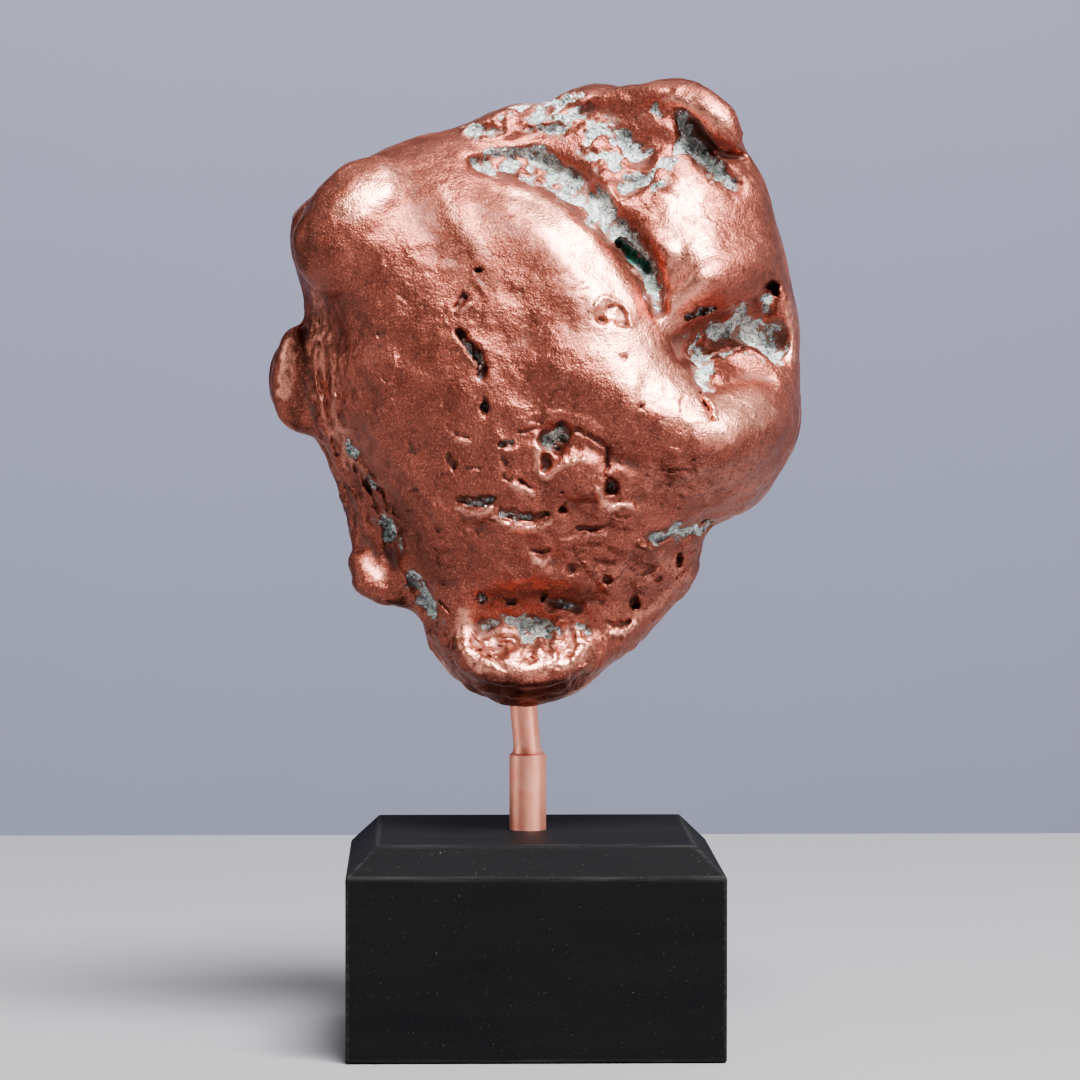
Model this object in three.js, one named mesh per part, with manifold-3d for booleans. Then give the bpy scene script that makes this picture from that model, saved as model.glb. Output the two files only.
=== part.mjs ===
// A native copper nugget on a display stand: a water-worn lump of copper on a turned pin,
// which stands in a bevelled square block.
//
// Millimetres. +Z is up and -Y faces the viewer. The origin is the centre of the block's
// underside.

import * as THREE from "three";
import { mergeVertices } from "three/addons/utils/BufferGeometryUtils.js";
import Module from "manifold-3d";

const wasm = await Module();
wasm.setup();

// ---------------------------------------------------------------- driving dimensions

const BLOCK_SIDE = 63.5;
const BLOCK_FACE = 30.8; // height of the upright faces
const BEVEL_RISE = 5.1;
const BEVEL_INSET = 5.1;
const BLOCK_HEIGHT = BLOCK_FACE + BEVEL_RISE;

const POST_X = -0.8;
const BARREL_RADIUS = 3.175;
const BARREL_SHOW = 13; // length of the barrel above the block
const BARREL_LET_IN = 15; // length of the barrel inside the block
const SHOULDER_RISE = 1.6; // the cone between the barrel and the neck
const NECK_RADIUS = 2.35;
const NECK_LEAN = THREE.MathUtils.degToRad(5); // the neck leans towards -X
const POST_TOP = 68; // end of the neck, inside the nugget
const FIT_GAP = 0.3; // between the post and the holes that it stands in
const ROUND_SIDES = 48;

const NUGGET_CENTRE = new THREE.Vector2(2, 110); // x, z
const FRONT_DEPTH = 19; // how far the front swells from the rim, before its lumps
const BACK_DEPTH = 20;
const FULLNESS = 2.5; // exponent of the swelling: 2 is an ellipsoid, more is fuller
const NUGGET_DETAIL = 19;
const KNOB_LATITUDE = [0.07, 0.3]; // where the rim's small knobs and notches fade out
const KNOB_SPREAD = 22; // degrees that the rim is averaged over, away from its knobs
const LUMP_FADE = 0.5; // share of the swelling over which lumps fade towards the rim
const RIM_SHIFT = { left: 7, right: 1, top: 3, bottom: -2 }; // +Y shift of the rim

// The rim of the nugget seen from the front, as x and z, clockwise from the left shoulder.
const RIM = [
  [-22, 154.5], [-14, 156.5], [-7, 159.5], [-2, 161], [1.5, 160.5], [4, 162], [8.5, 164],
  [12.5, 164.5], [16.5, 163.5], [20.5, 165], [25.5, 165.5], [31, 163.5], [34.5, 160],
  [36, 156.5], [36, 154], [37, 152.5], [40, 147.5], [44.5, 132], [46, 122], [46, 106.5],
  [44.2, 99.5], [41.2, 94.7], [36.5, 91], [32, 89], [30, 87.5], [29, 84.5], [28.5, 80.5],
  [26.3, 77], [22.8, 72.8], [19.3, 69], [16, 66.2], [12, 64], [10, 61.2], [7.5, 59.3], [2, 57.9],
  [-3, 57.4], [-7.5, 58.4], [-12, 61.2], [-16, 65], [-18, 68.5], [-19, 72], [-20.5, 73.5],
  [-23.5, 75], [-28, 77.5], [-31, 83], [-32.7, 92.5], [-36.5, 101], [-37.7, 104], [-40, 104.2],
  [-43.2, 107], [-45.2, 111], [-45.2, 116.5], [-43.5, 120], [-40, 123], [-39.5, 127],
  [-41.5, 135], [-42, 139], [-41, 142.5], [-37.2, 145.6], [-32.5, 149.2], [-28.5, 151.8],
];

// Lumps and hollows: centre x and z, half length, half width, turn in degrees from +X
// towards +Z, and how far each stands out (or in, below zero).
const FRONT_LUMPS = [
  { name: "shoulder dome", at: [-23.5, 138], size: [18, 14], turn: 35, out: 5 },
  { name: "shoulder corner", at: [-33, 138.5], size: [8, 8], turn: 0, out: 7 },
  { name: "middle face", at: [-14, 115], size: [22, 18], turn: 0, out: 5 },
  { name: "diagonal ridge", at: [12.5, 123], size: [27, 10.5], turn: -50, out: 5.5 },
  { name: "lower face", at: [6, 97], size: [24, 18], turn: 0, out: 4.5 },
  { name: "ridge foot", at: [20, 102], size: [16, 13], turn: 0, out: 3.5 },
  { name: "upper right lobe", at: [28, 130.5], size: [12.5, 9], turn: 0, out: 6.5 },
  { name: "lower right bulge", at: [38, 104], size: [13, 11], turn: 0, out: 8.5 },
  { name: "valley, upper end", at: [0, 149], size: [12, 6], turn: -15, out: -4 },
  { name: "valley, lower end", at: [19, 132], size: [10, 6.5], turn: -52, out: -6 },
  { name: "right pocket", at: [34, 119.5], size: [10, 6], turn: -12, out: -8 },
  { name: "top plateau", at: [9, 154], size: [16, 8], turn: 0, out: -4 },
  { name: "hook roll", at: [27, 160], size: [10, 5], turn: -12, out: 5 },
  { name: "lower hollow", at: [-1, 80], size: [22, 10], turn: 0, out: -1.5 },
  { name: "bottom hollow", at: [-1, 72.5], size: [12, 5.5], turn: 0, out: -5 },
  { name: "bottom lip", at: [-2, 62], size: [14, 7], turn: 0, out: 7 },
  { name: "lower right flange", at: [20, 76], size: [9, 9], turn: 0, out: -3 },
  { name: "lower left hollow", at: [-25, 84], size: [7, 9], turn: 15, out: -4 },
  { name: "left band, upper", at: [-37.5, 124], size: [14, 6], turn: 84, out: -4 },
  { name: "left band, lower", at: [-31, 96], size: [16, 6], turn: 112, out: -4 },
];
const BACK_LUMPS = [
  { name: "upper dome", at: [-16, 138], size: [20, 15], turn: 20, out: 6 },
  { name: "side bulge", at: [26, 124], size: [14, 20], turn: -10, out: 6 },
  { name: "lower belly", at: [-8, 97], size: [20, 14], turn: -20, out: 5 },
  { name: "long groove", at: [3, 117], size: [30, 8], turn: 38, out: -6 },
  { name: "high pocket", at: [9, 150], size: [10, 7], turn: 10, out: -4 },
  { name: "side dent", at: [-33, 114], size: [8, 12], turn: 0, out: -4 },
  { name: "low hollow", at: [12, 78], size: [14, 9], turn: 30, out: -5 },
  { name: "foot swelling", at: [-4, 66], size: [13, 8], turn: 0, out: 4 },
];

const BLACK_PAINT = { color: 0x1a1a1c, roughness: 0.55, metalness: 0 };
const COPPER_SATIN = { color: 0xb87062, roughness: 0.35, metalness: 1 };
const COPPER_NATIVE = { color: 0xa0584a, roughness: 0.4, metalness: 1 };

// ---------------------------------------------------------------- helpers

function piece(name, geometry, finish) {
  const mesh = new THREE.Mesh(geometry, new THREE.MeshStandardMaterial(finish));
  mesh.name = name;
  return mesh;
}

function merged(geometry) {
  geometry.deleteAttribute("normal");
  geometry.deleteAttribute("uv");
  return mergeVertices(geometry, 1e-4);
}

function solidOf(geometry) {
  const closed = merged(geometry);
  const vertProperties = new Float32Array(closed.attributes.position.array);
  const triVerts = new Uint32Array(closed.index.array);
  return new wasm.Manifold(new wasm.Mesh({ numProp: 3, vertProperties, triVerts }));
}

function geometryOf(solid) {
  const mesh = solid.getMesh();
  const geometry = new THREE.BufferGeometry();
  geometry.setAttribute("position", new THREE.BufferAttribute(mesh.vertProperties, 3));
  geometry.setIndex(new THREE.BufferAttribute(mesh.triVerts, 1));
  return geometry;
}

// A solid turned about Z from a profile of [radius, height] pairs.
function turned(profile, sides) {
  const points = profile.map(([radius, height]) => new THREE.Vector2(radius, height));
  const lathe = new THREE.LatheGeometry(points, sides);
  return lathe.rotateX(Math.PI / 2);
}

// ---------------------------------------------------------------- post and its holes

// The post, grown all over by a gap: with no gap it is the post, with one it is the cutter
// for the holes. Above the barrel each section slides towards -X, so the neck leans.
function postGeometry(gap) {
  const barrelTop = BLOCK_HEIGHT + BARREL_SHOW;
  const profile = [
    [0, BLOCK_HEIGHT - BARREL_LET_IN - gap],
    [BARREL_RADIUS + gap, BLOCK_HEIGHT - BARREL_LET_IN - gap],
    [BARREL_RADIUS + gap, barrelTop - 0.5],
    [BARREL_RADIUS + gap - 0.4, barrelTop],
    [NECK_RADIUS + gap, barrelTop + SHOULDER_RISE],
    [NECK_RADIUS + gap, POST_TOP + gap],
    [0, POST_TOP + gap],
  ];
  const geometry = turned(profile, ROUND_SIDES);
  const position = geometry.attributes.position;
  for (let i = 0; i < position.count; i++) {
    const rise = Math.max(0, position.getZ(i) - barrelTop);
    position.setX(i, position.getX(i) + POST_X - rise * Math.tan(NECK_LEAN));
  }
  return geometry;
}

// ---------------------------------------------------------------- block

function blockGeometry() {
  const halfDiagonal = BLOCK_SIDE / Math.SQRT2;
  const profile = [
    [0, 0],
    [halfDiagonal, 0],
    [halfDiagonal, BLOCK_FACE],
    [halfDiagonal - BEVEL_INSET * Math.SQRT2, BLOCK_HEIGHT],
    [0, BLOCK_HEIGHT],
  ];
  const block = turned(profile, 4).rotateZ(Math.PI / 4);
  return geometryOf(solidOf(block).subtract(solidOf(postGeometry(FIT_GAP))));
}

// ---------------------------------------------------------------- nugget

const DEGREES = 360;

// The rim's distance from the nugget's centre, for each whole degree.
function rimRadii() {
  const points = RIM.map(([x, z]) => new THREE.Vector3(x, 0, z));
  const curve = new THREE.CatmullRomCurve3(points, true, "centripetal");
  const samples = curve.getPoints(2000).map((p) => {
    const angle = Math.atan2(p.z - NUGGET_CENTRE.y, p.x - NUGGET_CENTRE.x);
    const radius = Math.hypot(p.z - NUGGET_CENTRE.y, p.x - NUGGET_CENTRE.x);
    return { degree: (THREE.MathUtils.radToDeg(angle) + DEGREES) % DEGREES, radius };
  });
  return Array.from({ length: DEGREES }, (_, degree) => {
    const away = (s) => Math.abs(((s.degree - degree + 540) % DEGREES) - 180);
    return samples.reduce((best, s) => (away(s) < away(best) ? s : best)).radius;
  });
}

function averaged(radii, spread) {
  return radii.map((_, degree) => {
    let sum = 0;
    for (let d = -spread; d <= spread; d++) sum += radii[(degree + d + DEGREES) % DEGREES];
    return sum / (2 * spread + 1);
  });
}

function radiusAt(radii, angle) {
  const degree = (THREE.MathUtils.radToDeg(angle) + DEGREES) % DEGREES;
  const low = Math.floor(degree) % DEGREES;
  return THREE.MathUtils.lerp(radii[low], radii[(low + 1) % DEGREES], degree % 1);
}

function lumpsAt(lumps, x, z) {
  let out = 0;
  for (const lump of lumps) {
    const turn = THREE.MathUtils.degToRad(lump.turn);
    const dx = x - lump.at[0];
    const dz = z - lump.at[1];
    const along = (dx * Math.cos(turn) + dz * Math.sin(turn)) / lump.size[0];
    const across = (dz * Math.cos(turn) - dx * Math.sin(turn)) / lump.size[1];
    out += lump.out * Math.exp(-(along * along + across * across));
  }
  return out;
}

function rimShiftAt(angle) {
  const side = Math.cos(angle) ** 2 * (Math.cos(angle) < 0 ? RIM_SHIFT.left : RIM_SHIFT.right);
  const end = Math.sin(angle) ** 2 * (Math.sin(angle) > 0 ? RIM_SHIFT.top : RIM_SHIFT.bottom);
  return side + end;
}

// Each direction from the centre becomes a point of the nugget: the rim gives how wide it is
// that way, the swelling gives how deep, and the lumps push the front and back in and out.
function nuggetGeometry() {
  const radii = rimRadii();
  const plainRadii = averaged(radii, KNOB_SPREAD);
  const geometry = merged(new THREE.IcosahedronGeometry(1, NUGGET_DETAIL));
  const position = geometry.attributes.position;
  const direction = new THREE.Vector3();
  for (let i = 0; i < position.count; i++) {
    direction.fromBufferAttribute(position, i).normalize();
    const angle = Math.atan2(direction.z, direction.x);
    const latitude = Math.abs(Math.asin(direction.y));
    const reach = Math.cos(latitude) ** (2 / FULLNESS);
    const swell = Math.sin(latitude) ** (2 / FULLNESS);

    const knob = 1 - THREE.MathUtils.smoothstep(latitude, ...KNOB_LATITUDE);
    const exact = radiusAt(radii, angle);
    const plain = Math.min(exact, radiusAt(plainRadii, angle));
    const radius = THREE.MathUtils.lerp(plain, exact, knob) * reach;
    const x = NUGGET_CENTRE.x + radius * Math.cos(angle);
    const z = NUGGET_CENTRE.y + radius * Math.sin(angle);

    const fade = THREE.MathUtils.smoothstep(swell, 0, LUMP_FADE);
    const front = direction.y < 0;
    const depth = front
      ? FRONT_DEPTH * swell + fade * lumpsAt(FRONT_LUMPS, x, z)
      : BACK_DEPTH * swell + fade * lumpsAt(BACK_LUMPS, x, z);
    const y = (front ? -depth : depth) + rimShiftAt(angle) * reach ** 2;
    position.setXYZ(i, x, y, z);
  }
  return geometryOf(solidOf(geometry).subtract(solidOf(postGeometry(FIT_GAP))));
}

// ---------------------------------------------------------------- the whole object

const stand = new THREE.Group();
stand.add(piece("base", blockGeometry(), BLACK_PAINT));
stand.add(piece("post", postGeometry(0), COPPER_SATIN));

const specimen = new THREE.Group();
specimen.add(stand);
specimen.add(piece("nugget", nuggetGeometry(), COPPER_NATIVE));

export default specimen;
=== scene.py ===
"""A native copper nugget on its display stand, for rendering and export.

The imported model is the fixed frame: its block, pin and rough nugget give every size and
place. This file gives them their looks. The nugget is modelled like clay: rolls are added
to the frame's rough lump, the whole is skinned again, and named marks are pressed into it,
side by side. Marks are in millimetres, everything else in metres, +Z up, -Y to the viewer.
"""

from math import cos, pi, radians, sin, tan
from typing import NamedTuple

import bmesh
import bpy
import numpy as np
from bpy.props import FloatProperty, FloatVectorProperty, IntProperty, PointerProperty
from mathutils import Euler, Matrix, Vector


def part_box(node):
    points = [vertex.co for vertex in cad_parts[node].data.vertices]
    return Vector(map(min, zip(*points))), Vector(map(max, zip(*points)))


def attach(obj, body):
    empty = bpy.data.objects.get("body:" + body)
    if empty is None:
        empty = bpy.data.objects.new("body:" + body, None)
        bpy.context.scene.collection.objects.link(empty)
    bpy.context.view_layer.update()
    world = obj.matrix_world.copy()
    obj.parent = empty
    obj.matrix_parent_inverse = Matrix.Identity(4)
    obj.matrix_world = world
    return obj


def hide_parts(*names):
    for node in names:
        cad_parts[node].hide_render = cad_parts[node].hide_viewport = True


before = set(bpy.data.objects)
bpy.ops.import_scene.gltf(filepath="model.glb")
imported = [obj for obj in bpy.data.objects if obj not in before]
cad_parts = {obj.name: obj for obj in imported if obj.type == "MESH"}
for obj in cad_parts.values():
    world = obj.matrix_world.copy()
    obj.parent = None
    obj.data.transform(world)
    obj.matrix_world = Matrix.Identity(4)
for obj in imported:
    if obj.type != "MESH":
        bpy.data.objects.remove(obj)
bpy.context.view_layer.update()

bl_info = {
    "name": "Native copper nugget on a stand",
    "version": (1, 0, 0),
    "blender": (4, 5, 0),
    "location": "3D View > Sidebar > Nugget",
    "description": "Builds a water-worn copper nugget, its pin and its black block",
    "category": "Object",
}

MM = 0.001
BODY = "root"

# ---------------------------------------------------------------- the nugget's relief
# Every mark is drawn on one side of the nugget, in that side's own flat coordinates: how far
# right and how far up, in millimetres from the frame's origin. A stroke's points are
# (right, up, half width). Heights are millimetres out of the surface, or into it below 0.


class Side(NamedTuple):
    """One side that marks are pressed into: which way it faces, and its flat axes."""

    faces: tuple
    right: tuple
    up: tuple
    edge: float = 0.08  # how squarely a face must look this way to take any of a mark


class Mark(NamedTuple):
    """One stroke of the modelling tool."""

    name: str
    shape: str
    height: float
    stroke: tuple


class Dents(NamedTuple):
    """A field of hammered dents: how many, where, how deep and how wide the biggest are."""

    seed: int
    count: int
    left: float
    right: float
    low: float
    high: float
    depth: float
    reach: float


class Ripple(NamedTuple):
    """Unevenness of one size, and its height everywhere, more at the left and more low down."""

    size: float
    seed: int
    height: float
    left: float = 0.0
    low: float = 0.0


def patch(name, *stroke, share=1.0):
    """Where a finish shows: in full along the stroke, with a firm edge."""
    return Mark(name, "hollow", share, stroke)


def rub(name, *stroke, share=1.0):
    """Where a finish, a painted highlight or painted shade shows, fading out evenly from the
    stroke's line to its half width.
    """
    return Mark(name, "swell", share, stroke)


FRONT = Side(faces=(0, -1, 0), right=(1, 0, 0), up=(0, 0, 1))
BACK = Side(faces=(0, 1, 0), right=(-1, 0, 0), up=(0, 0, 1))
LEFT = Side(faces=(-1, 0, 0), right=(0, -1, 0), up=(0, 0, 1), edge=0.3)
RIGHT = Side(faces=(1, 0, 0), right=(0, 1, 0), up=(0, 0, 1), edge=0.3)

# Rolls of clay added before the first skinning: (x, y, z, radius) in millimetres.
CLAY_ROLLS = {
    "shoulder": (
        (-31.6, -10.4, 136.6, 9.8), (-29.0, -9.4, 139.4, 10.6), (-26.6, -8.2, 141.6, 10.6),
    ),
    "hook": (
        (15, -3, 162.0, 2.0), (20, -5, 161.8, 2.8), (25, -8, 161.2, 3.2), (29, -10, 159.8, 3.4),
        (31.8, -11, 157.6, 3.4), (33.0, -11, 155.4, 3.2), (33.0, -10.5, 153.8, 2.6),
    ),
    "ear": (
        (-40.2, 1, 119.4, 3.6), (-41.0, 1, 115.0, 4.2), (-41.0, 1, 110.5, 4.2),
        (-39.6, 1, 107.0, 3.6),
    ),
    "lower left knob": (
        (-29.5, 0, 82.0, 2.6), (-28.0, -1, 79.0, 3.4), (-24.5, -2, 77.2, 3.2),
        (-21.8, -2, 76.2, 2.4),
    ),
    "bottom lip": (
        (-12.4, -9.6, 73.4, 1.3), (-12.4, -10.6, 69.6, 1.9), (-11.0, -12, 66.0, 2.4),
        (-7.6, -14, 64.2, 2.7), (-3.0, -15, 63.7, 2.8), (3.0, -14.8, 64.3, 2.7),
        (7.6, -12.6, 65.4, 2.4), (9.8, -10.6, 68.2, 1.8),
    ),
    "pocket tongue": (
        (31.5, -12, 116.6, 1.6), (35.0, -11, 117.6, 2.2), (38.5, -10, 116.6, 2.2),
        (41.0, -8, 114.5, 1.8),
    ),
}

# The big forms, pressed in while the skin is still coarse.
FRONT_FORMS = (
    Mark("lip of the ridge along the valley", "roll", 0.6, (
        (-10.8, 150.4, 1.2), (-6.6, 147.2, 1.4), (-2.3, 146.4, 1.5), (3.6, 144.4, 1.6),
        (7.4, 139.6, 1.6), (10.6, 135.4, 1.6), (13.6, 131.8, 1.4), (15.6, 128.6, 1.3),
        (16.8, 124.8, 1.0))),
    Mark("valley", "hollow", -3.4, (
        (-9.6, 150.0, 1.8), (-5.0, 150.2, 2.9), (0.5, 149.4, 3.9), (6.0, 146.6, 4.0),
        (11.0, 142.0, 3.8), (15.0, 137.4, 3.2), (18.6, 132.5, 2.8), (20.2, 128.5, 2.2),
        (20.8, 125.5, 1.4))),
    Mark("lobe's lower brow", "roll", 1.6, (
        (23.0, 126.0, 2.4), (28.0, 129.6, 3.4), (34.0, 132.0, 3.8), (39.5, 135.0, 3.4))),
    Mark("pocket", "hollow", -3.6, (
        (25.5, 119.0, 3.4), (31.0, 121.5, 4.2), (36.5, 122.6, 4.4), (40.5, 120.5, 4.0))),
    Mark("pocket corner", "hollow", -2.5, ((39.6, 126.0, 2.6), (40.8, 129.0, 1.4))),
    Mark("pocket foot", "hollow", -2.4, ((28.0, 117.5, 2.4), (28.4, 113.0, 1.8))),
    Mark("groove under the tongue", "groove", -1.6, (
        (28.5, 111.8, 1.6), (33.0, 113.2, 1.8), (37.0, 113.9, 1.6), (40.5, 113.0, 1.2))),
    Mark("hook crevice", "hollow", -5.0, (
        (26.6, 157.4, 0.8), (28.4, 154.9, 1.1), (30.4, 152.8, 1.2), (33.4, 151.6, 1.1),
        (36.0, 151.4, 0.9))),
    Mark("trough beside the hook", "hollow", -2.0, (
        (25.4, 158.0, 1.6), (26.4, 154.6, 2.0), (28.6, 151.2, 2.2), (31.8, 148.2, 2.2),
        (34.6, 146.0, 1.6))),
    Mark("plateau hollow, upper", "hollow", -1.8, ((15.4, 154.6, 2.2), (17.8, 151.4, 2.6))),
    Mark("plateau hollow, lower", "hollow", -1.5, ((15.0, 145.6, 1.6), (18.6, 147.0, 1.8))),
    Mark("plateau hollow, rear", "hollow", -1.6, ((9.5, 159.4, 1.6), (13.0, 159.3, 2.0))),
    Mark("plateau knob 1", "roll", 1.3, ((10.6, 153.0, 2.2), (11.8, 149.6, 2.0))),
    Mark("plateau knob 2", "roll", 1.1, ((22.4, 151.2, 2.2), (21.6, 147.6, 2.4))),
    Mark("plateau knob 3", "roll", 1.0, ((8.6, 146.4, 1.4), (12.8, 148.0, 1.6))),
    Mark("plateau knob 4", "roll", 1.0, ((20.5, 157.0, 1.8), (23.4, 155.4, 1.6))),
    Mark("crease behind the valley", "groove", -1.6, (
        (-15.5, 156.6, 0.8), (-11.8, 154.6, 1.2), (-9.2, 153.2, 1.2), (-3.5, 154.0, 1.2),
        (2.0, 155.8, 1.2), (6.4, 156.4, 1.2), (8.6, 158.6, 1.1), (10.5, 161.0, 0.9))),
    Mark("oval hollow", "hollow", -1.3, (
        (-10.6, 155.7, 1.0), (-8.0, 155.9, 1.3), (-5.6, 155.7, 0.9))),
    Mark("slab between creases", "roll", 1.2, ((-1.5, 157.4, 1.2), (4.0, 158.4, 1.5))),
    Mark("crease at the left edge", "groove", -0.8, (
        (-36.8, 148.5, 0.9), (-38.4, 143.5, 1.2), (-38.6, 138.0, 1.4), (-37.4, 132.0, 1.7),
        (-36.6, 126.5, 2.4), (-36.2, 120.5, 3.4), (-36.2, 113.0, 3.8), (-35.4, 106.0, 3.2),
        (-32.4, 100.0, 3.2), (-29.4, 95.6, 3.2), (-26.0, 90.5, 2.8), (-24.0, 84.5, 2.2),
        (-22.2, 80.4, 1.5))),
    Mark("front plateau's left shoulder", "roll", 0.5, (
        (-31.0, 128.0, 3.4), (-27.4, 119.0, 4.4), (-27.4, 109.0, 4.2), (-24.6, 101.0, 4.0),
        (-20.0, 94.0, 3.6), (-16.8, 87.0, 3.2))),
    Mark("plateau hump, top", "roll", 1.4, (
        (9.0, 161.8, 2.4), (14.5, 161.6, 3.0), (20.0, 162.4, 2.4))),
    Mark("hump at the left", "roll", 1.2, (
        (-15.0, 157.4, 1.4), (-9.0, 158.4, 1.8), (-4.0, 159.4, 1.4))),
    Mark("knob by the green hole", "roll", 1.4, ((19.6, 137.6, 1.8), (21.8, 134.8, 2.2))),
    Mark("knob in the valley", "roll", 1.2, ((12.4, 144.4, 1.5), (14.2, 142.0, 1.7))),
    Mark("dip right of the shoulder", "swell", -0.6, (
        (-19.6, 148.0, 5.5), (-18.2, 142.4, 7.0), (-15.0, 136.5, 5.5))),
    Mark("swelling under the ridge", "swell", 2.2, (
        (4.0, 116.5, 8.0), (14.0, 111.0, 9.0), (24.0, 104.5, 9.0), (32.0, 102.0, 8.0))),
    Mark("fold on the plateau front", "roll", 0.15, (
        (-14.6, 145.1, 1.2), (-13.2, 141.2, 1.6), (-10.8, 137.1, 1.7), (-8.2, 134.6, 1.2))),
    Mark("flap between the pits", "roll", 1.1, ((5.0, 96.6, 3.0), (9.6, 97.2, 3.4))),
    Mark("step under the ledge", "groove", -1.0, (
        (-3.0, 103.6, 2.0), (4.0, 103.4, 2.4), (11.0, 101.4, 2.2), (17.0, 98.8, 1.8))),
    Mark("bottom basin", "groove", -1.6, (
        (-8.0, 71.0, 3.4), (-3.0, 70.4, 4.6), (3.0, 70.4, 4.6), (8.0, 70.8, 3.4))),
    Mark("rim of the bottom lip", "roll", 0.9, (
        (-12.2, 73.6, 1.2), (-11.8, 69.0, 1.6), (-9.4, 65.8, 1.8), (-3.5, 65.2, 1.8),
        (3.0, 65.6, 1.8), (7.6, 66.8, 1.6), (9.2, 69.4, 1.2))),
    Mark("basin's roof", "roll", 0.7, ((-6.5, 78.6, 3.0), (0.0, 79.4, 3.4), (7.0, 78.6, 3.0))),
    Mark("basin's black gap", "hollow", -2.8, (
        (1.6, 76.6, 0.8), (4.6, 75.8, 1.1), (7.4, 74.8, 0.9))),
    Mark("lower left gap", "hollow", -2.2, (
        (-20.8, 79.6, 1.3), (-19.2, 77.4, 1.8), (-18.0, 74.8, 1.7))),
    Mark("left hollow", "hollow", -1.8, (
        (-24.6, 88.6, 1.6), (-24.0, 85.2, 2.0), (-24.2, 82.8, 1.5))),
    Mark("notch under the bulge", "groove", -2.2, (
        (20.0, 86.8, 1.2), (24.0, 88.2, 1.8), (28.0, 88.2, 1.9), (31.5, 88.6, 1.6))),
    Mark("right edge strip", "roll", 1.2, (
        (43.4, 128.0, 1.0), (44.2, 122.0, 1.5), (44.6, 116.0, 1.3))),
)
BACK_FORMS = (
    Mark("back valley", "groove", -3.4, (
        (-31.0, 95.0, 2.4), (-25.0, 99.0, 4.4), (-18.0, 104.5, 3.2), (-11.0, 111.0, 5.2),
        (-4.0, 118.0, 3.6), (1.0, 124.0, 4.4), (6.0, 131.5, 2.2))),
    Mark("lip over the back valley", "roll", 1.6, (
        (-24.0, 109.0, 4.0), (-14.0, 118.0, 4.6), (-5.0, 127.0, 4.0))),
    Mark("high pocket", "groove", -2.8, (
        (-15.0, 149.5, 2.8), (-9.0, 151.5, 5.0), (-3.0, 149.0, 3.8), (2.0, 146.6, 2.2))),
    Mark("pocket brow", "roll", 1.3, ((-16.0, 155.0, 2.6), (-8.0, 157.0, 3.0), (1.0, 154.0, 2.4))),
    Mark("side hollow", "groove", -2.2, (
        (32.0, 122.0, 2.4), (30.5, 116.0, 4.0), (28.5, 109.0, 3.0), (25.5, 104.0, 2.0))),
    Mark("belly", "roll", 1.4, ((12.0, 98.0, 6.0), (20.0, 92.0, 5.0))),
    Mark("low hollow", "groove", -2.6, ((-14.0, 80.5, 3.0), (-7.6, 77.4, 4.6), (-0.6, 78.6, 3.2))),
    Mark("low lip", "roll", 1.4, ((-12.0, 72.0, 2.6), (-4.0, 69.0, 3.0), (5.0, 70.0, 2.6))),
    Mark("long crease", "groove", -1.4, (
        (22.0, 146.0, 1.6), (16.0, 138.0, 2.0), (14.0, 128.0, 2.0), (17.0, 118.0, 1.6))),
)
LEFT_FORMS = (
    Mark("side seam", "groove", -1.2, (
        (-10.0, 146.0, 1.6), (-6.0, 134.0, 2.0), (-4.0, 124.0, 2.0), (-3.0, 100.0, 2.0),
        (-1.0, 88.0, 1.8))),
)
RIGHT_FORMS = (
    Mark("side seam", "groove", -1.4, (
        (-4.0, 150.0, 1.6), (2.0, 138.0, 2.2), (3.0, 124.0, 2.4), (6.0, 112.0, 2.0))),
    Mark("side dimple", "hollow", -1.4, ((-2.0, 98.0, 2.6), (4.0, 100.0, 3.0))),
)

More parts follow.
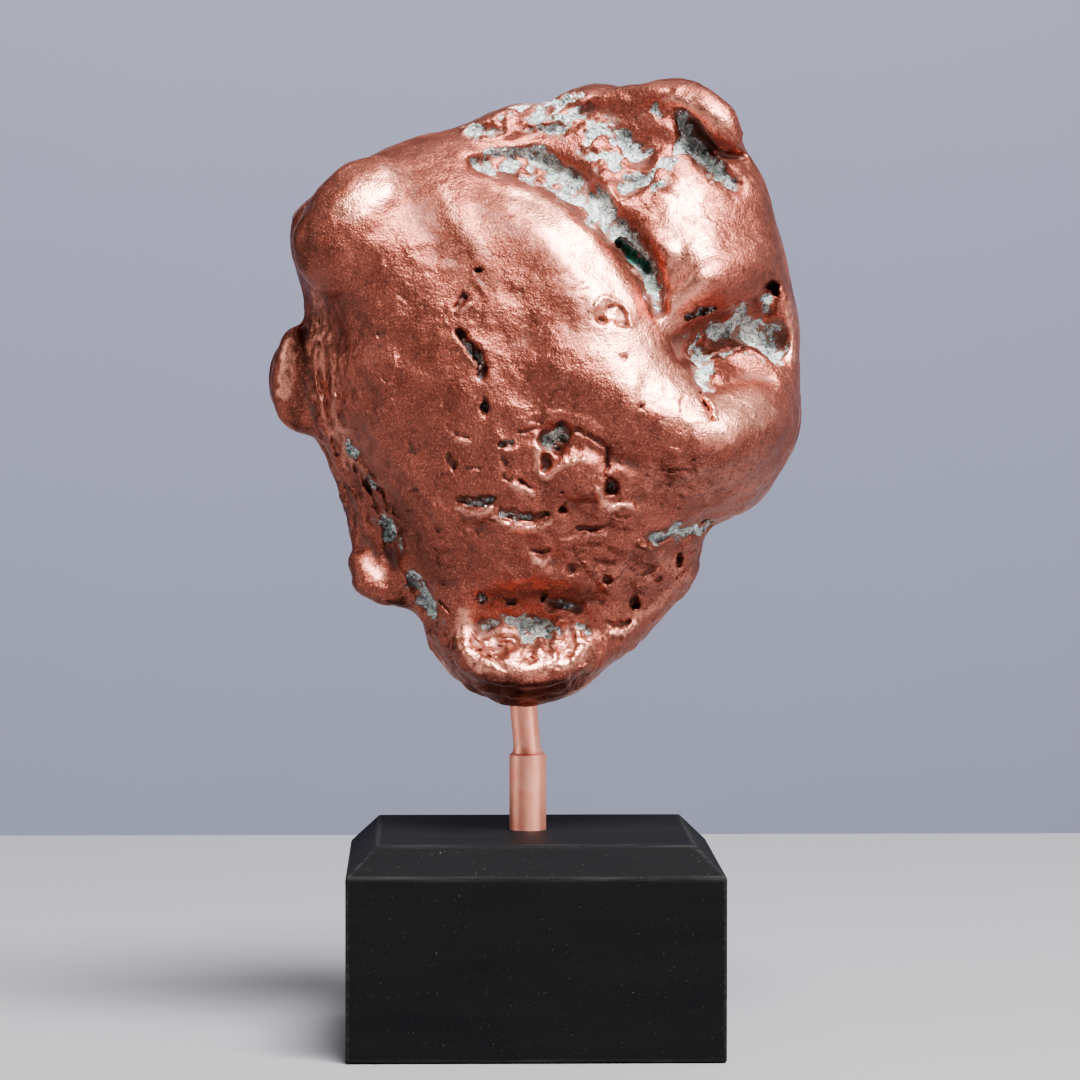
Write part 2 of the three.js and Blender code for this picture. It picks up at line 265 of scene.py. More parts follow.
# Pits, cracks, lips and crescents, pressed in once the skin is fine.
FRONT_MARKS = (
    Mark("green hole", "hollow", -3.2, (
        (14.6, 136.2, 1.1), (16.8, 134.4, 1.5), (19.0, 132.6, 1.2))),
    Mark("large pit", "hollow", -1.9, ((2.2, 103.4, 2.3), (3.6, 103.2, 2.6), (4.6, 105.2, 1.8))),
    Mark("large pit's foot", "hollow", -1.3, ((1.8, 100.4, 1.0), (1.7, 98.6, 0.9))),
    Mark("large pit's lip", "roll", 0.55, (
        (0.2, 104.2, 0.5), (0.5, 100.7, 0.6), (0.3, 98.7, 0.6), (1.5, 97.1, 0.7), (3.2, 98.7, 0.6),
        (5.2, 99.9, 0.6), (8.0, 100.3, 0.5))),
    Mark("shadow over the pits", "groove", -0.8, (
        (-2.6, 104.9, 0.5), (1.0, 105.7, 0.8), (4.4, 105.9, 0.9), (7.0, 105.0, 0.8),
        (10.0, 103.5, 0.7), (12.0, 102.2, 0.5))),
    Mark("brow over the pits", "roll", 0.3, (
        (-2.0, 106.6, 0.9), (3.0, 107.6, 1.2), (8.0, 106.4, 1.2), (12.6, 103.8, 1.0))),
    Mark("crack between the pits", "groove", -1.6, (
        (11.8, 102.2, 0.4), (12.0, 99.2, 0.45), (11.6, 97.2, 0.5))),
    Mark("second pit", "hollow", -2.2, ((12.8, 96.4, 1.3), (12.7, 95.2, 1.3))),
    Mark("second pit's lip", "roll", 0.55, (
        (10.6, 95.2, 0.5), (11.2, 93.2, 0.7), (12.6, 91.8, 0.8), (14.2, 92.5, 0.6),
        (16.4, 92.2, 0.5))),
    Mark("small mineral pit", "hollow", -1.1, ((-5.6, 103.0, 0.7), (-4.2, 102.9, 0.8))),
    Mark("upright crease", "groove", -0.8, (
        (-5.9, 101.4, 0.5), (-4.8, 99.4, 0.6), (-5.5, 96.9, 0.5), (-4.0, 96.6, 0.4))),
    Mark("slit", "groove", -0.9, ((-3.8, 97.3, 0.4), (-2.1, 96.4, 0.5), (-0.6, 95.3, 0.4))),
    Mark("slit's lip", "roll", 0.3, ((-4.0, 96.2, 0.4), (-2.2, 95.2, 0.4), (-0.4, 94.4, 0.4))),
    Mark("left crescent", "hollow", -1.0, (
        (-13.0, 93.6, 0.6), (-10.0, 93.0, 1.0), (-7.0, 93.4, 0.7))),
    Mark("left crescent's lip", "roll", 0.5, (
        (-13.2, 92.0, 0.4), (-11.2, 90.9, 0.6), (-9.2, 90.9, 0.6), (-7.4, 92.0, 0.4))),
    Mark("middle crescent", "hollow", -1.0, (
        (-6.0, 91.7, 0.6), (-3.2, 90.7, 0.9), (-0.2, 90.4, 0.9), (1.8, 91.2, 0.5))),
    Mark("middle crescent's lip", "roll", 0.5, (
        (-7.0, 90.5, 0.4), (-4.8, 89.1, 0.6), (-1.9, 88.5, 0.6), (1.0, 88.7, 0.6),
        (2.6, 89.8, 0.4))),
    Mark("hole by the crescent", "hollow", -1.4, ((4.5, 91.6, 0.85),)),
    Mark("right slit", "groove", -0.9, ((7.0, 88.7, 0.4), (9.4, 88.4, 0.6), (11.8, 88.8, 0.4))),
    Mark("right slit's lip", "roll", 0.3, ((8.6, 87.5, 0.4), (11.8, 87.6, 0.4))),
    Mark("small crescent", "groove", -0.9, ((-0.4, 84.9, 0.4), (1.0, 84.5, 0.6), (2.2, 84.9, 0.4))),
    Mark("small crescent's lip", "roll", 0.45, (
        (-0.4, 83.8, 0.4), (0.2, 82.9, 0.5), (1.2, 82.6, 0.5), (2.5, 83.3, 0.4))),
    Mark("hole", "hollow", -1.5, ((6.0, 81.5, 0.95),)),
    Mark("hole right of it", "hollow", -1.1, ((12.3, 79.6, 0.9),)),
    Mark("groove beside it", "groove", -0.8, (
        (9.8, 83.2, 0.5), (11.6, 82.4, 0.7), (13.6, 82.8, 0.5))),
    Mark("fold beside it", "roll", 0.6, ((8.4, 82.6, 0.6), (10.0, 80.8, 0.8), (12.4, 77.8, 0.6))),
    Mark("upper left pit", "hollow", -1.4, ((-8.6, 109.0, 0.9), (-8.5, 108.0, 0.9))),
    Mark("slit by the ledge", "groove", -0.8, ((-1.0, 106.6, 0.4), (1.2, 106.6, 0.4))),
    Mark("slit at the left", "groove", -0.8, ((-13.6, 104.2, 0.4), (-11.2, 104.0, 0.6))),
    Mark("slit at the left, lip", "roll", 0.3, ((-13.4, 103.2, 0.3), (-11.0, 103.0, 0.4))),
    Mark("dent at the left", "hollow", -1.0, ((-14.4, 100.4, 0.9), (-13.6, 99.0, 0.8))),
    Mark("slanting crack, upper", "hollow", -2.0, (
        (-12.7, 121.6, 0.75), (-11.6, 119.8, 0.75), (-10.2, 118.4, 0.7))),
    Mark("slanting crack, lower", "hollow", -2.0, (
        (-9.4, 118.0, 0.8), (-8.7, 116.2, 0.8), (-9.2, 114.2, 0.85))),
    Mark("crack's flake", "roll", 0.4, (
        (-12.6, 119.4, 0.4), (-11.4, 117.6, 0.5), (-10.6, 116.4, 0.4))),
    Mark("pit below the crack", "hollow", -1.5, ((-8.6, 110.2, 0.6), (-8.3, 109.0, 0.9))),
    Mark("pinhole high", "hollow", -1.4, ((-9.4, 131.7, 0.6),)),
    Mark("streak below it", "roll", 0.35, ((-9.6, 130.2, 0.4), (-8.6, 128.4, 0.4))),
    Mark("pinhole pair", "hollow", -1.3, ((-11.8, 127.3, 0.6), (-13.2, 125.7, 0.5))),
    Mark("pinhole lip", "roll", 0.35, ((-12.8, 125.0, 0.4), (-10.8, 126.0, 0.4))),
    Mark("far left dimple", "hollow", -0.9, ((-25.8, 121.2, 0.9),)),
    Mark("ring pit in the ridge", "hollow", -0.9, (
        (11.0, 124.2, 1.6), (13.2, 125.0, 1.6), (14.6, 123.2, 1.2))),
    Mark("ring pit's left eye", "hollow", -0.9, ((11.1, 123.9, 0.8),)),
    Mark("ring pit's right eye", "hollow", -0.6, ((15.0, 122.7, 0.5),)),
    Mark("ring pit's rim", "roll", 0.35, (
        (9.6, 125.2, 0.5), (11.4, 127.2, 0.5), (13.6, 127.0, 0.5), (15.6, 124.8, 0.5),
        (16.2, 122.6, 0.4))),
    Mark("leaf slot", "hollow", -1.3, (
        (25.7, 124.0, 0.5), (28.0, 125.1, 0.85), (30.3, 125.3, 0.5))),
    Mark("black corner", "hollow", -2.6, (
        (39.8, 129.4, 0.7), (41.2, 129.6, 0.8), (41.2, 128.2, 0.6))),
    Mark("crack under the pocket", "groove", -2.0, (
        (27.4, 111.4, 0.5), (28.4, 108.9, 0.45), (29.3, 106.8, 0.35))),
    Mark("crack's right lip", "roll", 0.4, (
        (28.4, 111.0, 0.4), (29.6, 108.6, 0.5), (30.0, 107.2, 0.4))),
    Mark("pinhole right 1", "hollow", -1.0, ((17.4, 109.3, 0.5),)),
    Mark("pinhole right 2", "groove", -0.8, ((22.6, 102.6, 0.4), (24.0, 102.0, 0.4))),
    Mark("pinhole right 3", "hollow", -0.6, ((14.6, 117.2, 0.5),)),
    Mark("line right", "groove", -0.8, ((22.0, 98.3, 0.5), (25.8, 98.3, 0.5))),
    Mark("basin pit at left", "hollow", -1.4, ((-8.9, 77.2, 0.6), (-8.7, 75.8, 0.7))),
    Mark("basin pit at middle", "hollow", -1.0, ((-4.6, 76.2, 0.6), (-3.0, 76.1, 0.6))),
    Mark("basin notch", "hollow", -1.4, ((1.6, 78.0, 0.5), (1.6, 76.2, 0.7))),
    Mark("basin peak", "roll", 0.9, ((4.2, 72.6, 0.6), (3.6, 69.4, 0.9), (3.4, 66.6, 0.7))),
    Mark("basin whorl", "roll", 0.7, (
        (-5.4, 69.8, 0.5), (-3.6, 69.6, 0.6), (-2.6, 68.0, 0.7), (-3.6, 66.4, 0.6))),
    Mark("basin fold left", "roll", 0.7, (
        (-10.4, 70.4, 0.6), (-8.6, 69.4, 0.6), (-7.0, 67.2, 0.6))),
    Mark("basin slot", "groove", -1.0, ((-9.4, 67.6, 0.5), (-7.4, 66.8, 0.6), (-5.2, 64.8, 0.5))),
    Mark("basin fold right", "roll", 0.7, ((7.2, 71.0, 0.6), (7.8, 68.4, 0.8), (6.6, 66.0, 0.6))),
    Mark("basin fold, far right", "roll", 0.6, (
        (5.2, 73.0, 0.5), (5.6, 70.6, 0.7), (5.0, 68.6, 0.5))),
    Mark("basin fold, middle", "roll", 0.6, ((0.2, 71.4, 0.5), (1.4, 69.0, 0.8), (0.4, 67.0, 0.6))),
    Mark("basin dimple 1", "hollow", -0.7, ((-5.8, 68.2, 0.6),)),
    Mark("basin dimple 2", "hollow", -0.7, ((2.2, 67.8, 0.5), (2.4, 69.6, 0.5))),
    Mark("basin dimple 3", "hollow", -0.6, ((5.9, 67.0, 0.5),)),
    Mark("basin dot", "hollow", -0.8, ((-0.6, 66.2, 0.7),)),
    Mark("flange hole", "hollow", -2.4, ((17.1, 75.9, 0.8), (17.4, 75.0, 0.9))),
    Mark("flange hollow", "hollow", -1.2, ((14.0, 71.6, 0.7), (16.0, 72.2, 0.7))),
    Mark("flange hollow's rim", "roll", 0.5, (
        (13.2, 70.2, 0.5), (15.2, 70.2, 0.6), (17.6, 72.0, 0.5))),
    Mark("flange slit", "hollow", -1.8, ((24.6, 83.9, 0.45), (24.8, 81.9, 0.5))),
    Mark("flange pinhole", "hollow", -1.0, ((21.1, 79.5, 0.8),)),
    Mark("flange brow", "roll", 0.5, ((17.6, 85.8, 0.7), (20.4, 85.6, 0.9))),
    Mark("left eye", "hollow", -1.2, ((-28.4, 95.6, 0.7), (-27.8, 94.4, 0.6))),
)

# Painted highlights on the metal pushed up round the pits, a little wider than the lips are.
LIP_HIGHLIGHT_SHARE = 0.8
LIP_SPREAD = 2.2
LIP_HIGHLIGHTS = tuple(
    rub(mark.name, *((x, z, LIP_SPREAD * half) for x, z, half in mark.stroke), share=LIP_HIGHLIGHT_SHARE)
    for mark in FRONT_MARKS if "lip" in mark.name or "rim" in mark.name)

# Where the grey-green mineral shows.
FRONT_MINERAL = (
    patch("oval", (-10.4, 155.5, 0.9), (-8.2, 155.8, 1.2), (-5.8, 155.5, 0.8)),
    patch("upper slab", (1.0, 160.2, 0.9), (5.4, 161.2, 1.2), (8.2, 162.0, 0.8)),
    patch("lower slab", (-0.6, 157.2, 0.8), (3.0, 157.9, 1.0), (6.0, 157.9, 0.8)),
    patch("valley, upper fork", (-8.0, 152.0, 0.9), (-3.6, 152.4, 1.0), (1.0, 152.2, 1.6)),
    patch("valley, lower fork", (-8.4, 150.6, 1.0), (-7.0, 148.6, 1.2)),
    patch("valley",
        (1.2, 151.6, 1.8), (4.2, 148.8, 2.0), (8.0, 145.4, 2.2), (11.4, 141.6, 2.4),
        (14.6, 138.4, 2.4), (17.2, 135.4, 2.4), (19.6, 131.4, 1.8), (20.4, 128.4, 1.4),
        (20.6, 126.0, 0.9)),
    patch("plateau, upper", (15.4, 154.8, 1.5), (17.6, 151.8, 1.9)),
    patch("plateau, lower", (15.0, 145.6, 1.2), (18.4, 147.0, 1.3)),
    patch("plateau, rear", (20.4, 159.8, 0.7), (21.4, 158.0, 0.9)),
    patch("beside the hook",
        (25.4, 158.2, 1.3), (26.4, 154.8, 1.6), (28.8, 151.4, 1.6), (31.8, 148.4, 1.8),
        (34.0, 146.4, 1.3)),
    patch("leaf", (25.9, 124.1, 0.5), (28.0, 125.1, 0.8), (30.0, 125.2, 0.5)),
    patch("pocket apex", (35.1, 126.2, 0.9), (35.4, 123.6, 2.4)),
    patch("pocket", (31.2, 121.6, 1.5), (35.2, 122.2, 2.6), (39.0, 120.8, 2.4), (41.6, 117.4, 1.6)),
    patch("pocket foot", (28.0, 117.0, 1.9), (28.4, 113.4, 1.5)),
    patch("pocket corner", (39.4, 127.2, 1.3), (39.9, 125.4, 1.2)),
    patch("large pit", (2.4, 103.2, 1.9), (4.2, 104.4, 1.8)),
    patch("second pit", (12.7, 95.8, 0.9)),
    patch("small pit", (-5.6, 103.0, 0.5), (-4.2, 102.9, 0.7)),
    patch("upper left pit", (-8.6, 108.8, 0.9)),
    patch("slanting crack",
        (-12.4, 121.0, 0.5), (-10.6, 118.6, 0.5), (-8.9, 116.6, 0.8), (-9.2, 114.4, 0.7)),
    patch("crescents", (-11.4, 93.0, 0.7), (-7.6, 93.0, 0.9)),
    patch("crescents, right", (-5.6, 91.2, 0.9), (-0.6, 90.4, 0.8)),
    patch("basin", (-4.4, 72.8, 1.2), (-1.2, 71.9, 1.9), (2.4, 71.6, 1.3)),
    patch("basin gap", (4.4, 75.4, 0.6), (6.4, 74.8, 0.8)),
    patch("basin pits", (-8.8, 76.6, 0.6), (-8.8, 75.8, 0.5)),
    patch("notch", (21.2, 87.0, 0.8), (24.2, 87.8, 1.3), (28.4, 87.9, 1.2)),
    patch("left seam, upper", (-31.6, 102.6, 0.7), (-30.6, 100.8, 1.1)),
    patch("left seam, middle", (-28.2, 97.2, 0.7), (-26.8, 95.2, 0.6), share=0.9),
    patch("left hollow", (-24.8, 89.4, 1.2), (-24.2, 86.6, 1.5)),
    patch("lower left",
        (-21.0, 79.6, 1.0), (-19.0, 78.0, 1.5), (-17.8, 75.4, 1.6), (-17.0, 73.2, 1.0)),
)

# Where copper and mineral are mixed in lumps a few millimetres across.
FRONT_MIXED = (
    patch("plateau",
        (-11.0, 155.5, 1.6), (-3.0, 158.5, 2.6), (6.0, 158.0, 4.6), (13.0, 153.0, 6.0),
        (19.0, 149.0, 4.6), (24.0, 154.0, 3.0)),
    patch("valley",
        (-9.6, 150.0, 1.6), (-4.0, 150.0, 2.8), (3.0, 148.8, 3.8), (9.0, 144.0, 4.0),
        (14.6, 138.4, 3.4), (18.8, 132.5, 2.8), (20.4, 127.0, 1.6)),
    patch("beside the hook",
        (25.0, 157.6, 1.8), (27.0, 153.4, 2.8), (31.5, 148.8, 2.6), (35.0, 146.0, 1.6)),
    patch("pocket", (24.4, 119.6, 1.6), (29.0, 119.0, 3.6), (35.0, 122.0, 4.6), (40.6, 120.0, 4.4)),
    patch("pocket foot", (28.2, 117.0, 2.6), (28.6, 112.6, 2.0)),
    patch("left hollow", (-26.0, 88.6, 2.4), (-24.0, 85.6, 2.6), share=0.9),
    patch("lower left", (-20.6, 79.4, 1.8), (-18.0, 76.0, 2.6), (-16.6, 72.4, 1.4)),
    patch("basin", (-8.0, 71.6, 1.4), (-2.0, 71.0, 2.8), (4.0, 70.8, 2.4), (9.0, 71.0, 1.8)),
    patch("notch", (20.0, 86.8, 1.0), (24.0, 88.0, 2.0), (29.5, 88.2, 1.8)),
)

# The green mineral in the valley's hole, the brown film with painted shade, rubbed places with
# painted highlights, and red oxide.
FRONT_GREEN = (
    patch("green hole", (14.2, 136.6, 1.2), (16.6, 134.6, 1.5), (19.0, 132.8, 1.2)),
    patch("pale green", (19.4, 131.0, 1.4), (20.2, 128.6, 1.2), share=0.45),
)
# Brown film and painted shade: these strokes darken the back of the ear, the basin's roof, the
# upper left rim, the lower left, and the parts of the plateau that catch the key light.
FRONT_FILM_AND_SHADE = (
    rub("between shoulder and fold",
        (-20.0, 148.0, 5.0), (-17.6, 141.6, 6.4), (-14.0, 135.6, 6.4), (-9.0, 130.0, 6.0)),
    rub("between fold and ridge",
        (-8.6, 144.0, 4.0), (-4.0, 138.4, 6.0), (2.0, 131.6, 6.6), (6.4, 123.6, 6.6), share=0.8),
    rub("right wall of the valley",
        (17.6, 140.5, 2.4), (19.8, 134.5, 2.8), (21.2, 129.0, 2.6), (21.6, 125.0, 2.2), share=0.8),
    rub("basin's roof", (-7.0, 76.6, 2.8), (0.0, 77.6, 3.4), (7.6, 76.8, 3.0), share=0.8),
    rub("back of the ear", (-39.6, 121.0, 1.8), (-39.4, 112.0, 2.2), (-40.6, 106.0, 2.2)),
    rub("front, left of the crack", (-16.0, 120.0, 6.0), (-8.0, 111.0, 6.0), share=0.4),
    rub("lower left", (-23.0, 92.0, 5.0), (-16.0, 80.0, 5.0), share=0.5),
    rub("upper left rim",
        (-39.0, 133.0, 3.0), (-36.0, 143.0, 3.6), (-28.0, 151.0, 3.6),
        (-17.0, 155.5, 3.4), share=0.75),
)
# Painted highlights: brighter, paler copper laid where the lamps are mirrored or light from the
# right falls, on the shoulder, ridge, lobe, hook, bottom lip, whorls, ear, flange and left ribs.
# The same strokes also make the copper smoother there.
FRONT_WORN_HIGHLIGHTS = (
    rub("shoulder", (-31.0, 142.0, 4.0), (-27.6, 144.6, 5.6), (-23.6, 147.4, 4.4)),
    rub("fold",
        (-15.2, 145.6, 1.8), (-13.6, 141.4, 2.2), (-11.1, 137.3, 2.4),
        (-8.6, 134.8, 1.8), share=0.75),
    rub("ridge",
        (-2.6, 143.6, 4.6), (2.0, 141.6, 6.4), (7.0, 136.4, 8.4), (10.4, 130.4, 9.6),
        (13.4, 123.0, 10.4), (18.0, 116.0, 9.4), (24.0, 110.5, 8.0), (31.0, 107.0, 7.6),
        (36.5, 108.5, 6.4)),
    rub("lobe", (25.6, 144.0, 6.4), (26.2, 136.0, 8.4), (25.0, 129.0, 7.0), (22.4, 123.6, 4.4)),
    rub("hook", (23.6, 160.8, 2.6), (27.6, 159.6, 3.4), (31.2, 156.8, 3.2)),
    rub("bottom lip",
        (-12.0, 73.4, 2.4), (-11.6, 68.9, 3.4), (-8.6, 65.5, 3.4), (-3.3, 65.1, 3.4),
        (2.8, 65.9, 3.4), (7.3, 66.6, 3.2), (8.8, 68.9, 2.4)),
    rub("whorls", (-8.0, 69.6, 4.6), (6.0, 69.6, 4.6)),
    rub("ear", (-42.0, 119.6, 2.2), (-42.6, 111.0, 2.4)),
    rub("flange",
        (20.0, 84.8, 3.0), (26.0, 80.0, 2.6), (21.0, 74.6, 2.4), (13.0, 70.6, 2.6), share=0.42),
    rub("underside of the bulge", (20.0, 96.0, 8.0), (36.0, 98.0, 8.0), share=0.36),
    rub("face of the flange", (12.0, 81.0, 7.0), (20.0, 80.0, 7.0), share=0.3),
    rub("right strip", (43.6, 127.0, 1.8), (44.4, 117.0, 2.2), share=0.8),
    rub("lower left knob", (-28.6, 81.6, 1.8), (-25.8, 80.2, 2.0), share=0.8),
    rub("ribs at the left",
        (-36.6, 127.0, 4.0), (-35.8, 118.0, 5.0), (-35.0, 108.0, 4.4),
        (-31.0, 99.0, 3.4), share=0.55),
)
FRONT_RED = (
    patch("red oxide", (-6.6, 78.6, 0.4), (-3.6, 79.0, 0.6), (-0.4, 79.6, 0.9), (1.6, 78.6, 0.6)),
)

# The back's mineral, in the same way.
BACK_MIXED = (
    patch("back valley",
        (-29.0, 97.0, 2.4), (-19.0, 104.0, 3.6), (-9.0, 113.0, 4.2), (1.0, 123.0, 3.4),
        (5.0, 129.0, 2.0)),
    patch("high pocket", (-14.0, 150.0, 3.0), (-6.0, 151.0, 4.0), (0.0, 148.0, 2.6)),
    patch("low hollow", (-14.0, 79.4, 2.6), (-6.6, 77.4, 3.6), (0.0, 78.0, 2.6)),
)
BACK_MINERAL = (
    patch("back valley, low", (-27.5, 97.6, 1.1), (-23.6, 100.4, 1.7)),
    patch("back valley, middle", (-19.0, 103.8, 1.4), (-14.6, 107.6, 2.3), (-11.4, 110.6, 1.5)),
    patch("back valley, high", (-7.2, 114.8, 1.5), (-4.6, 117.6, 1.9)),
    patch("back valley, top", (1.2, 124.2, 1.3), (3.2, 127.4, 0.9)),
    patch("high pocket", (-11.5, 150.8, 1.6), (-7.4, 151.4, 2.4)),
    patch("high pocket, right", (-2.6, 148.6, 1.4), (-1.0, 147.8, 0.8)),
    patch("side hollow", (30.6, 116.6, 1.2), (29.4, 112.4, 1.6)),
    patch("low hollow", (-10.6, 78.8, 1.5), (-6.6, 77.6, 2.2)),
    patch("low hollow, right", (-1.4, 78.5, 1.3)),
)

# The band of thin ribs between the front plateau and the left edge.
BAND_LEFT = (
    (-40.6, 128.0), (-40.0, 116.0), (-37.0, 106.0), (-35.2, 100.0), (-31.6, 90.0), (-28.0, 83.0))
BAND_RIGHT = (
    (-33.6, 128.0), (-31.2, 116.0), (-32.6, 106.0), (-27.6, 98.0), (-21.8, 90.0), (-18.6, 83.0))
BAND_STRANDS = 44
BAND_SEED = 141

DENTS = (
    (FRONT, (
        Dents(101, 230, -22, 30, 64, 102, 0.80, 3.0),
        Dents(102, 50, -24, 30, 96, 112, 0.45, 2.6),
        Dents(103, 90, -34, 8, 106, 136, 0.32, 2.2),
        Dents(104, 110, -40, -20, 80, 130, 0.55, 2.0),
        Dents(105, 30, 14, 46, 88, 102, 0.25, 2.4),
        Dents(106, 40, 8, 30, 140, 162, 0.40, 2.0))),
    (BACK, (
        Dents(111, 220, -30, 24, 60, 104, 0.55, 2.6),
        Dents(112, 160, -46, 42, 98, 162, 0.35, 2.8))),
    (LEFT, (Dents(121, 130, -18, 18, 78, 152, 0.45, 2.2),)),
    (RIGHT, (Dents(131, 110, -18, 18, 82, 160, 0.35, 2.2),)),
)

# The skin's unevenness. It is rougher in the left part and in the low part, each of which
# fades out between the two places given.
LEFT_PART = (-4, 8)
LOW_PART = (92, 116)
UNEVEN = (
    Ripple(9.0, 31, 0.38),
    Ripple(4.6, 32, 0.10, left=0.10, low=0.24),
    Ripple(2.6, 34, 0.03, left=0.05, low=0.10),
)
FINE = (Ripple(1.1, 43, 0.05), Ripple(1.9, 44, 0.04, low=0.10))
RUBBLE = (Ripple(1.8, 41, 0.30), Ripple(0.9, 42, 0.16))
CRUST_SINK = 0.45  # how far the mineral lies below the copper round it
PORE_SIZE = 2.2
PORE_SEED = 33

# Mineral grains: half sizes in millimetres, and how far out of the crust each one is bedded.
GRAIN_SEED = 7
GRAIN_LEAST = 0.09
GRAIN_RANGE = 0.24
GRAIN_BED = (-0.55, 0.2)

# Colours that go with the mineral and the pits, whatever the metal's own colour is.
# The first is painted shade and tarnish: near black, laid in the deepest pits.
PIT_SHADE = (0.02, 0.012, 0.01)
SEAM = (0.07, 0.075, 0.07)
RUST = (0.36, 0.20, 0.16)
DUST = (0.16, 0.15, 0.15)
MINERAL_STOPS = (
    (0.0, (0.035, 0.04, 0.045)), (0.22, (0.15, 0.18, 0.185)), (0.4, (0.33, 0.38, 0.39)),
    (0.55, (0.42, 0.52, 0.48)), (0.7, (0.56, 0.60, 0.58)), (1.0, (0.85, 0.86, 0.84)),
)
CRUST_GREENS = ((0.004, 0.05, 0.035), (0.03, 0.24, 0.17))
GRAIN_GREENS = ((0.004, 0.045, 0.03), (0.05, 0.30, 0.21))
COAT = {"Coat Weight": 0.12, "Coat Roughness": 0.33, "Coat IOR": 1.55}

# The stage, in metres and radians.
NUGGET_MIDDLE = (0, 0, 0.11)
TABLE_WIDTH, TABLE_FRONT, TABLE_DROP = 5.0, 1.6, 0.0002
WALL_SIZE, WALL_PLACE = (4.0, 1.5), (0, 2.2, 0)
CAMERA_PLACE = (-0.018, -0.851, 0.120)
CAMERA_DROP = radians(2.30)
CAMERA_TURN = radians(-1.30)


# ---------------------------------------------------------------- small tools


def smooth_step(value, low, high):
    """0 below low, 1 above high, and a smooth rise between."""
    t = np.clip((value - low) / (high - low), 0, 1)
    return t * t * (3 - 2 * t)


def lattice_noise(points, size, seed):
    """Smooth noise, about -1 to 1, at each point, with lumps about `size` across."""
    cells = 32
    rng = np.random.default_rng(seed)
    slopes = rng.normal(size=(cells, cells, cells, 3))
    slopes /= np.linalg.norm(slopes, axis=3, keepdims=True)
    place = points / size + 100.5
    corner = np.floor(place).astype(int)
    inside = place - corner
    ease = inside**3 * (inside * (inside * 6 - 15) + 10)
    total = np.zeros(len(points))
    for step in np.ndindex(2, 2, 2):
        cell = (corner + step) % cells
        slope = slopes[cell[:, 0], cell[:, 1], cell[:, 2]]
        share = np.prod(np.where(step, ease, 1 - ease), axis=1)
        total += share * np.einsum("ij,ij->i", slope, inside - step)
    return total * 1.6


def stroke_nearness(right, up, stroke):
    """How near each point is to a stroke: 1 on its line, 0 at its half width and beyond."""
    best = np.zeros(len(right))
    points = stroke if len(stroke) > 1 else (stroke[0], stroke[0])
    for (x0, y0, r0), (x1, y1, r1) in zip(points, points[1:]):
        reach = max(r0, r1)
        near = (
            (right > min(x0, x1) - reach) & (right < max(x0, x1) + reach)
            & (up > min(y0, y1) - reach) & (up < max(y0, y1) + reach)
        )
        if not near.any():
            continue
        dx, dy = x1 - x0, y1 - y0
        along = ((right[near] - x0) * dx + (up[near] - y0) * dy) / max(dx * dx + dy * dy, 1e-9)
        along = np.clip(along, 0, 1)
        away = np.hypot(right[near] - x0 - along * dx, up[near] - y0 - along * dy)
        best[near] = np.maximum(best[near], 1 - away / (r0 + along * (r1 - r0)))
    return best


SECTIONS = {
    "hollow": lambda near: smooth_step(near, 0, 0.5),
    "groove": lambda near: near * near * (2 - near),
    "roll": lambda near: np.sqrt(1 - (1 - near) ** 2),
    "scoop": lambda near: near * (2 - near),
    "swell": lambda near: smooth_step(near, 0, 1),
}


def scoops(fields):
    """Shallow round dents, crowded so that ridges are left between them."""
    marks = []
    for field in fields:
        rng = np.random.default_rng(field.seed)
        for _ in range(field.count):
            x, z = rng.uniform(field.left, field.right), rng.uniform(field.low, field.high)
            radius = field.reach * (0.3 + 0.7 * rng.random() ** 1.5)
            turn, half = rng.uniform(0, 2 * pi), radius * rng.uniform(0, 0.6)
            dx, dz = half * cos(turn), half * sin(turn)
            depth = field.depth * rng.uniform(0.4, 1.0) * (radius / field.reach) ** 0.6
            stroke = ((x - dx, z - dz, radius), (x + dx, z + dz, 0.8 * radius))
            marks.append(Mark("scoop", "scoop", depth, stroke))
    return marks


def strands(left_line, right_line, count, seed):
    """Thin uneven ribs that run down between two lines, each given by its (right, up) points."""
    rng = np.random.default_rng(seed)
    left_line, right_line = np.array(left_line), np.array(right_line)
    rows = range(len(left_line))
    marks = []
    for share in np.linspace(0.04, 0.96, count):
        height = rng.uniform(0.2, 0.5) * rng.choice((-1, 1))
        first, last = sorted(rng.uniform(0, len(left_line) - 1, 2))
        between = (1 - share) * left_line + share * right_line
        stroke = []
        for place in np.linspace(first, last, 5):
            x, z = (np.interp(place, rows, axis) for axis in between.T)
            stroke.append((x + rng.normal(0, 0.35), z, rng.uniform(0.35, 0.9)))
        marks.append(Mark("strand", "roll" if height > 0 else "groove", height, tuple(stroke)))
    return marks


def nicks(fields):
    """Short curved nicks, each with a lip of pushed-up metal under it."""
    marks = []
    for field in fields:
        rng = np.random.default_rng(field.seed + 50)
        for _ in range(field.count // 3):
            x, z = rng.uniform(field.left, field.right), rng.uniform(field.low, field.high)
            reach = 0.5 * field.reach * (0.4 + 0.8 * rng.random() ** 1.6)
            sag, turn = rng.uniform(-0.2, 0.6) * reach, rng.normal(-0.2, 0.8)
            width, depth = rng.uniform(0.3, 0.6) * reach, field.depth * rng.uniform(0.25, 0.8)
            bow = ((-reach, 0, 0.5 * width), (0, -sag, width), (reach, 0, 0.5 * width))
            for shape, height, drop, share in (
                    ("groove", -depth, 0.5, 1.0), ("roll", 0.7 * depth, 1.2, 0.5)):
                stroke = tuple(
                    (x + a * cos(turn) - (b - drop * width) * sin(turn),
                     z + a * sin(turn) + (b - drop * width) * cos(turn), share * half)
                    for a, b, half in bow)
                marks.append(Mark("nick", shape, height, stroke))
    return marks


